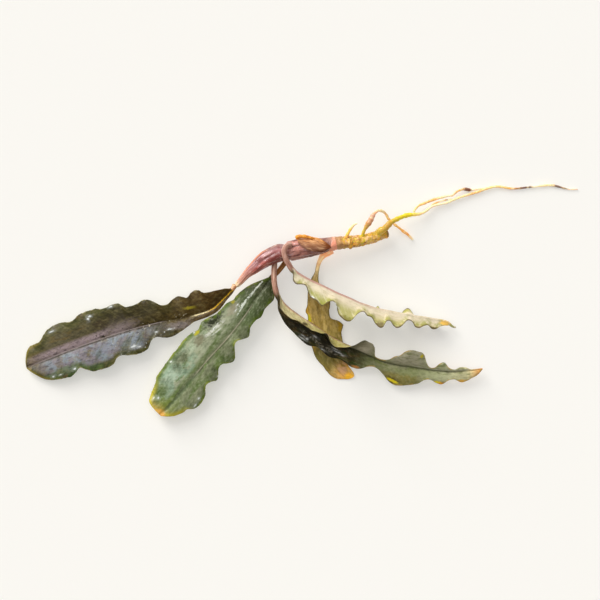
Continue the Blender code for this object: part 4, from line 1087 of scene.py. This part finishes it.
def roots():
    """The long root with its strands, the hooked root and the short one."""
    gold, olive, knot = 0xFEDE9A, 0xD6C62C, 0x704232
    pale, ash = 0xFFECC8, 0x846A5C
    root_thread(
        "root_long_skin",
        [(22.9, 20.1, 4.6), (23.4, 20.7, 5.5), (24.6, 21.4, 5.9), (26.55, 23.25, 5.6), (28.95, 24.5, 4.8),
         (31.2, 25.35, 3.9), (33.45, 25.6, 3.1), (35.25, 25.8, 2.5), (36.75, 26.55, 2.1), (39.15, 28.2, 1.6),
         (43.05, 29.1, 1.2), (46.65, 30.6, 1), (52.05, 32.25, 0.8), (57.8, 34, 0.7), (63.2, 33.4, 0.6),
         (68.6, 33.9, 0.55), (74.7, 34.4, 0.5), (79.5, 33.3, 0.38), (82.6, 33.2, 0.26)],
        ((0, 1.1), (0.06, 0.95), (0.1, 0.72), (0.18, 0.66), (0.215, 0.5), (0.25, 0.4), (0.42, 0.34),
         (0.66, 0.36), (0.7, 0.28), (0.9, 0.34), (0.93, 0.24), (1, 0.15)),
        root_paint("root_long", (0, 0xCEB040), (0.06, 0xC4963E), (0.13, olive), (0.18, 0xECD42C),
                   (0.24, gold), (0.32, pale), (0.46, gold), (0.5, AMBER), (0.6, gold), (0.68, AMBER),
                   (0.73, knot), (0.775, ash), (0.79, pale), (0.865, gold), (0.89, ash), (0.94, ash),
                   (0.96, pale), (1, 0xECD0A8)), 31, "root_long")
    strand_paint = root_paint("root_strand", (0, gold), (0.3, AMBER), (0.5, pale), (0.66, AMBER),
                              (0.735, knot), (0.785, knot), (0.82, pale), (1, gold))
    root_thread(
        "root_strand_skin",
        [(33.2, 26.3, 3.3), (33.9, 27.4, 3), (34.95, 28.35, 2.6), (36.45, 28.95, 2.3), (38.25, 29.7, 1.9),
         (40.05, 30.3, 1.7), (43.35, 31.2, 1.5), (44.85, 31.4, 1.4), (45.75, 32.1, 1.3), (46.65, 32.7, 1.2),
         (48.15, 33.2, 1), (49.05, 33.2, 0.9), (50.25, 33, 0.8), (52.8, 33.3, 0.7), (55.4, 33.5, 0.7)],
        ((0, 0.32), (0.2, 0.4), (0.5, 0.38), (0.7, 0.36), (0.76, 0.58), (0.82, 0.32), (1, 0.2)),
        strand_paint, 32, "root_strand")
    root_thread(
        "root_hair",
        [(38.7, 28.4, 1.6), (39.6, 28.95, 1.6), (41.25, 29.55, 1.5), (43.05, 30, 1.3), (44.85, 30.3, 1.1)],
        ((0, 0.22), (0.6, 0.2), (1, 0.12)), strand_paint, 35, None)
    root_thread(
        "root_hooked_skin",
        [(18, 19, 5.2), (18.2, 20.2, 5.9), (19.05, 21.9, 6.2), (20.25, 23.7, 6.4), (21.3, 25.6, 6.4),
         (22.65, 26.7, 6), (24.15, 26.4, 5), (25.05, 25.5, 3.9), (25.75, 24.3, 3), (27.15, 22.95, 2.3),
         (28.95, 21.6, 1.8), (30.45, 20.4, 1.3), (31.35, 19.8, 1), (32.25, 18.9, 0.75), (33.15, 18, 0.5)],
        ((0, 0.5), (0.08, 0.5), (0.2, 0.85), (0.27, 0.75), (0.34, 0.45), (0.6, 0.4), (0.8, 0.36),
         (0.86, 0.46), (0.92, 0.38), (1, 0.3)),
        root_paint("root_hooked", (0, olive), (0.1, 0xCEA84A), (0.2, 0xC48A5C), (0.27, 0xD8A084),
                   (0.4, 0xF6CC96), (0.6, 0xF6CC88), (0.75, AMBER), (0.9, 0xF4A84A),
                   (1, pale)), 33, "root_hooked")
    root_thread(
        "root_short_skin",
        [(12.8, 18.4, 5.9), (13.5, 19.7, 6.2), (14.4, 21.3, 6.4), (15.2, 22.3, 6.4), (16.35, 22.95, 6.3)],
        ((0, 0.5), (0.5, 0.46), (1, 0.3)),
        root_paint("root_short", (0, 0xF6BA54), (0.5, 0xFAD060), (1, pale)), 34, "root_short")


# Floor, lights and camera

def floor():
    """A plain pale floor, lit a little from behind as on a light table."""
    data = bpy.data.meshes.new("floor")
    corners = [(x * FLOOR_HALF, y * FLOOR_HALF, 0) for x, y in ((-1, -1), (1, -1), (1, 1), (-1, 1))]
    data.from_pydata(corners, [], [(0, 1, 2, 3)])
    plane = bpy.data.objects.new("floor", data)
    bpy.context.scene.collection.objects.link(plane)
    paint = Paint("floor", ior=1.3)
    paint.colour = (0.99, 1.0, 1.0, 1.0)
    paint.glow(0.37)
    paint.colour = (0.573, 0.549, 0.5, 1.0)
    data.materials.append(paint.finish(0.9))


def sun(name, azimuth, elevation, strength, softness):
    """A distant light from an azimuth (0 is +Y, 90 is +X) and an elevation, in degrees."""
    data = bpy.data.lights.new(name, "SUN")
    data.energy = strength
    data.angle = math.radians(softness)
    lamp = bpy.data.objects.new(name, data)
    turn, tilt = math.radians(azimuth), math.radians(elevation)
    towards = Vector((math.sin(turn) * math.cos(tilt), math.cos(turn) * math.cos(tilt), math.sin(tilt)))
    lamp.rotation_mode = "QUATERNION"
    lamp.rotation_quaternion = towards.to_track_quat("Z", "Y")
    bpy.context.scene.collection.objects.link(lamp)


def lights():
    """A broad light overhead, two lower ones from the photograph's upper left and a dim sky."""
    sun("overhead", -35, 74, 1.1, 80)
    sun("key", -38, 42, 1.2, 30)
    sun("low", -34, 23, 1.8, 26)
    world = bpy.data.worlds.new("sky")
    bpy.context.scene.world = world
    world.use_nodes = True
    sky = world.node_tree.nodes["Background"]
    sky.inputs["Color"].default_value = (1.0, 0.99, 0.97, 1.0)
    sky.inputs["Strength"].default_value = 0.22


def camera():
    """A long lens straight above the cutting, framed as the photograph."""
    data = bpy.data.cameras.new("camera")
    pixel = MM_PER_PIXEL * MM
    data.sensor_width = SENSOR_MM
    data.lens = SENSOR_MM * CAMERA_HEIGHT / (FRAME_PIXELS * pixel)
    eye = bpy.data.objects.new("camera", data)
    centre = FRAME_PIXELS / 2
    eye.location = ((centre - ORIGIN_PIXEL[0]) * pixel, (ORIGIN_PIXEL[1] - centre) * pixel, CAMERA_HEIGHT)
    bpy.context.scene.collection.objects.link(eye)
    bpy.context.scene.camera = eye
    bpy.context.scene.view_settings.view_transform = "Standard"


LEAVES = ((NEWEST, dark_leaf_paint), (GREEN, green_leaf_paint), (FOLDED, pale_leaf_paint),
          (TWISTED, olive_leaf_paint), (SHORT, brown_leaf_paint))
for number, (leaf, paint) in enumerate(LEAVES, 1):
    dress(f"{leaf.node}_blade", leaf_mesh(leaf, number), paint(), leaf.node)
rhizome()
shoot_sheath()
papery_scale()
roots()
floor()
lights()
camera()
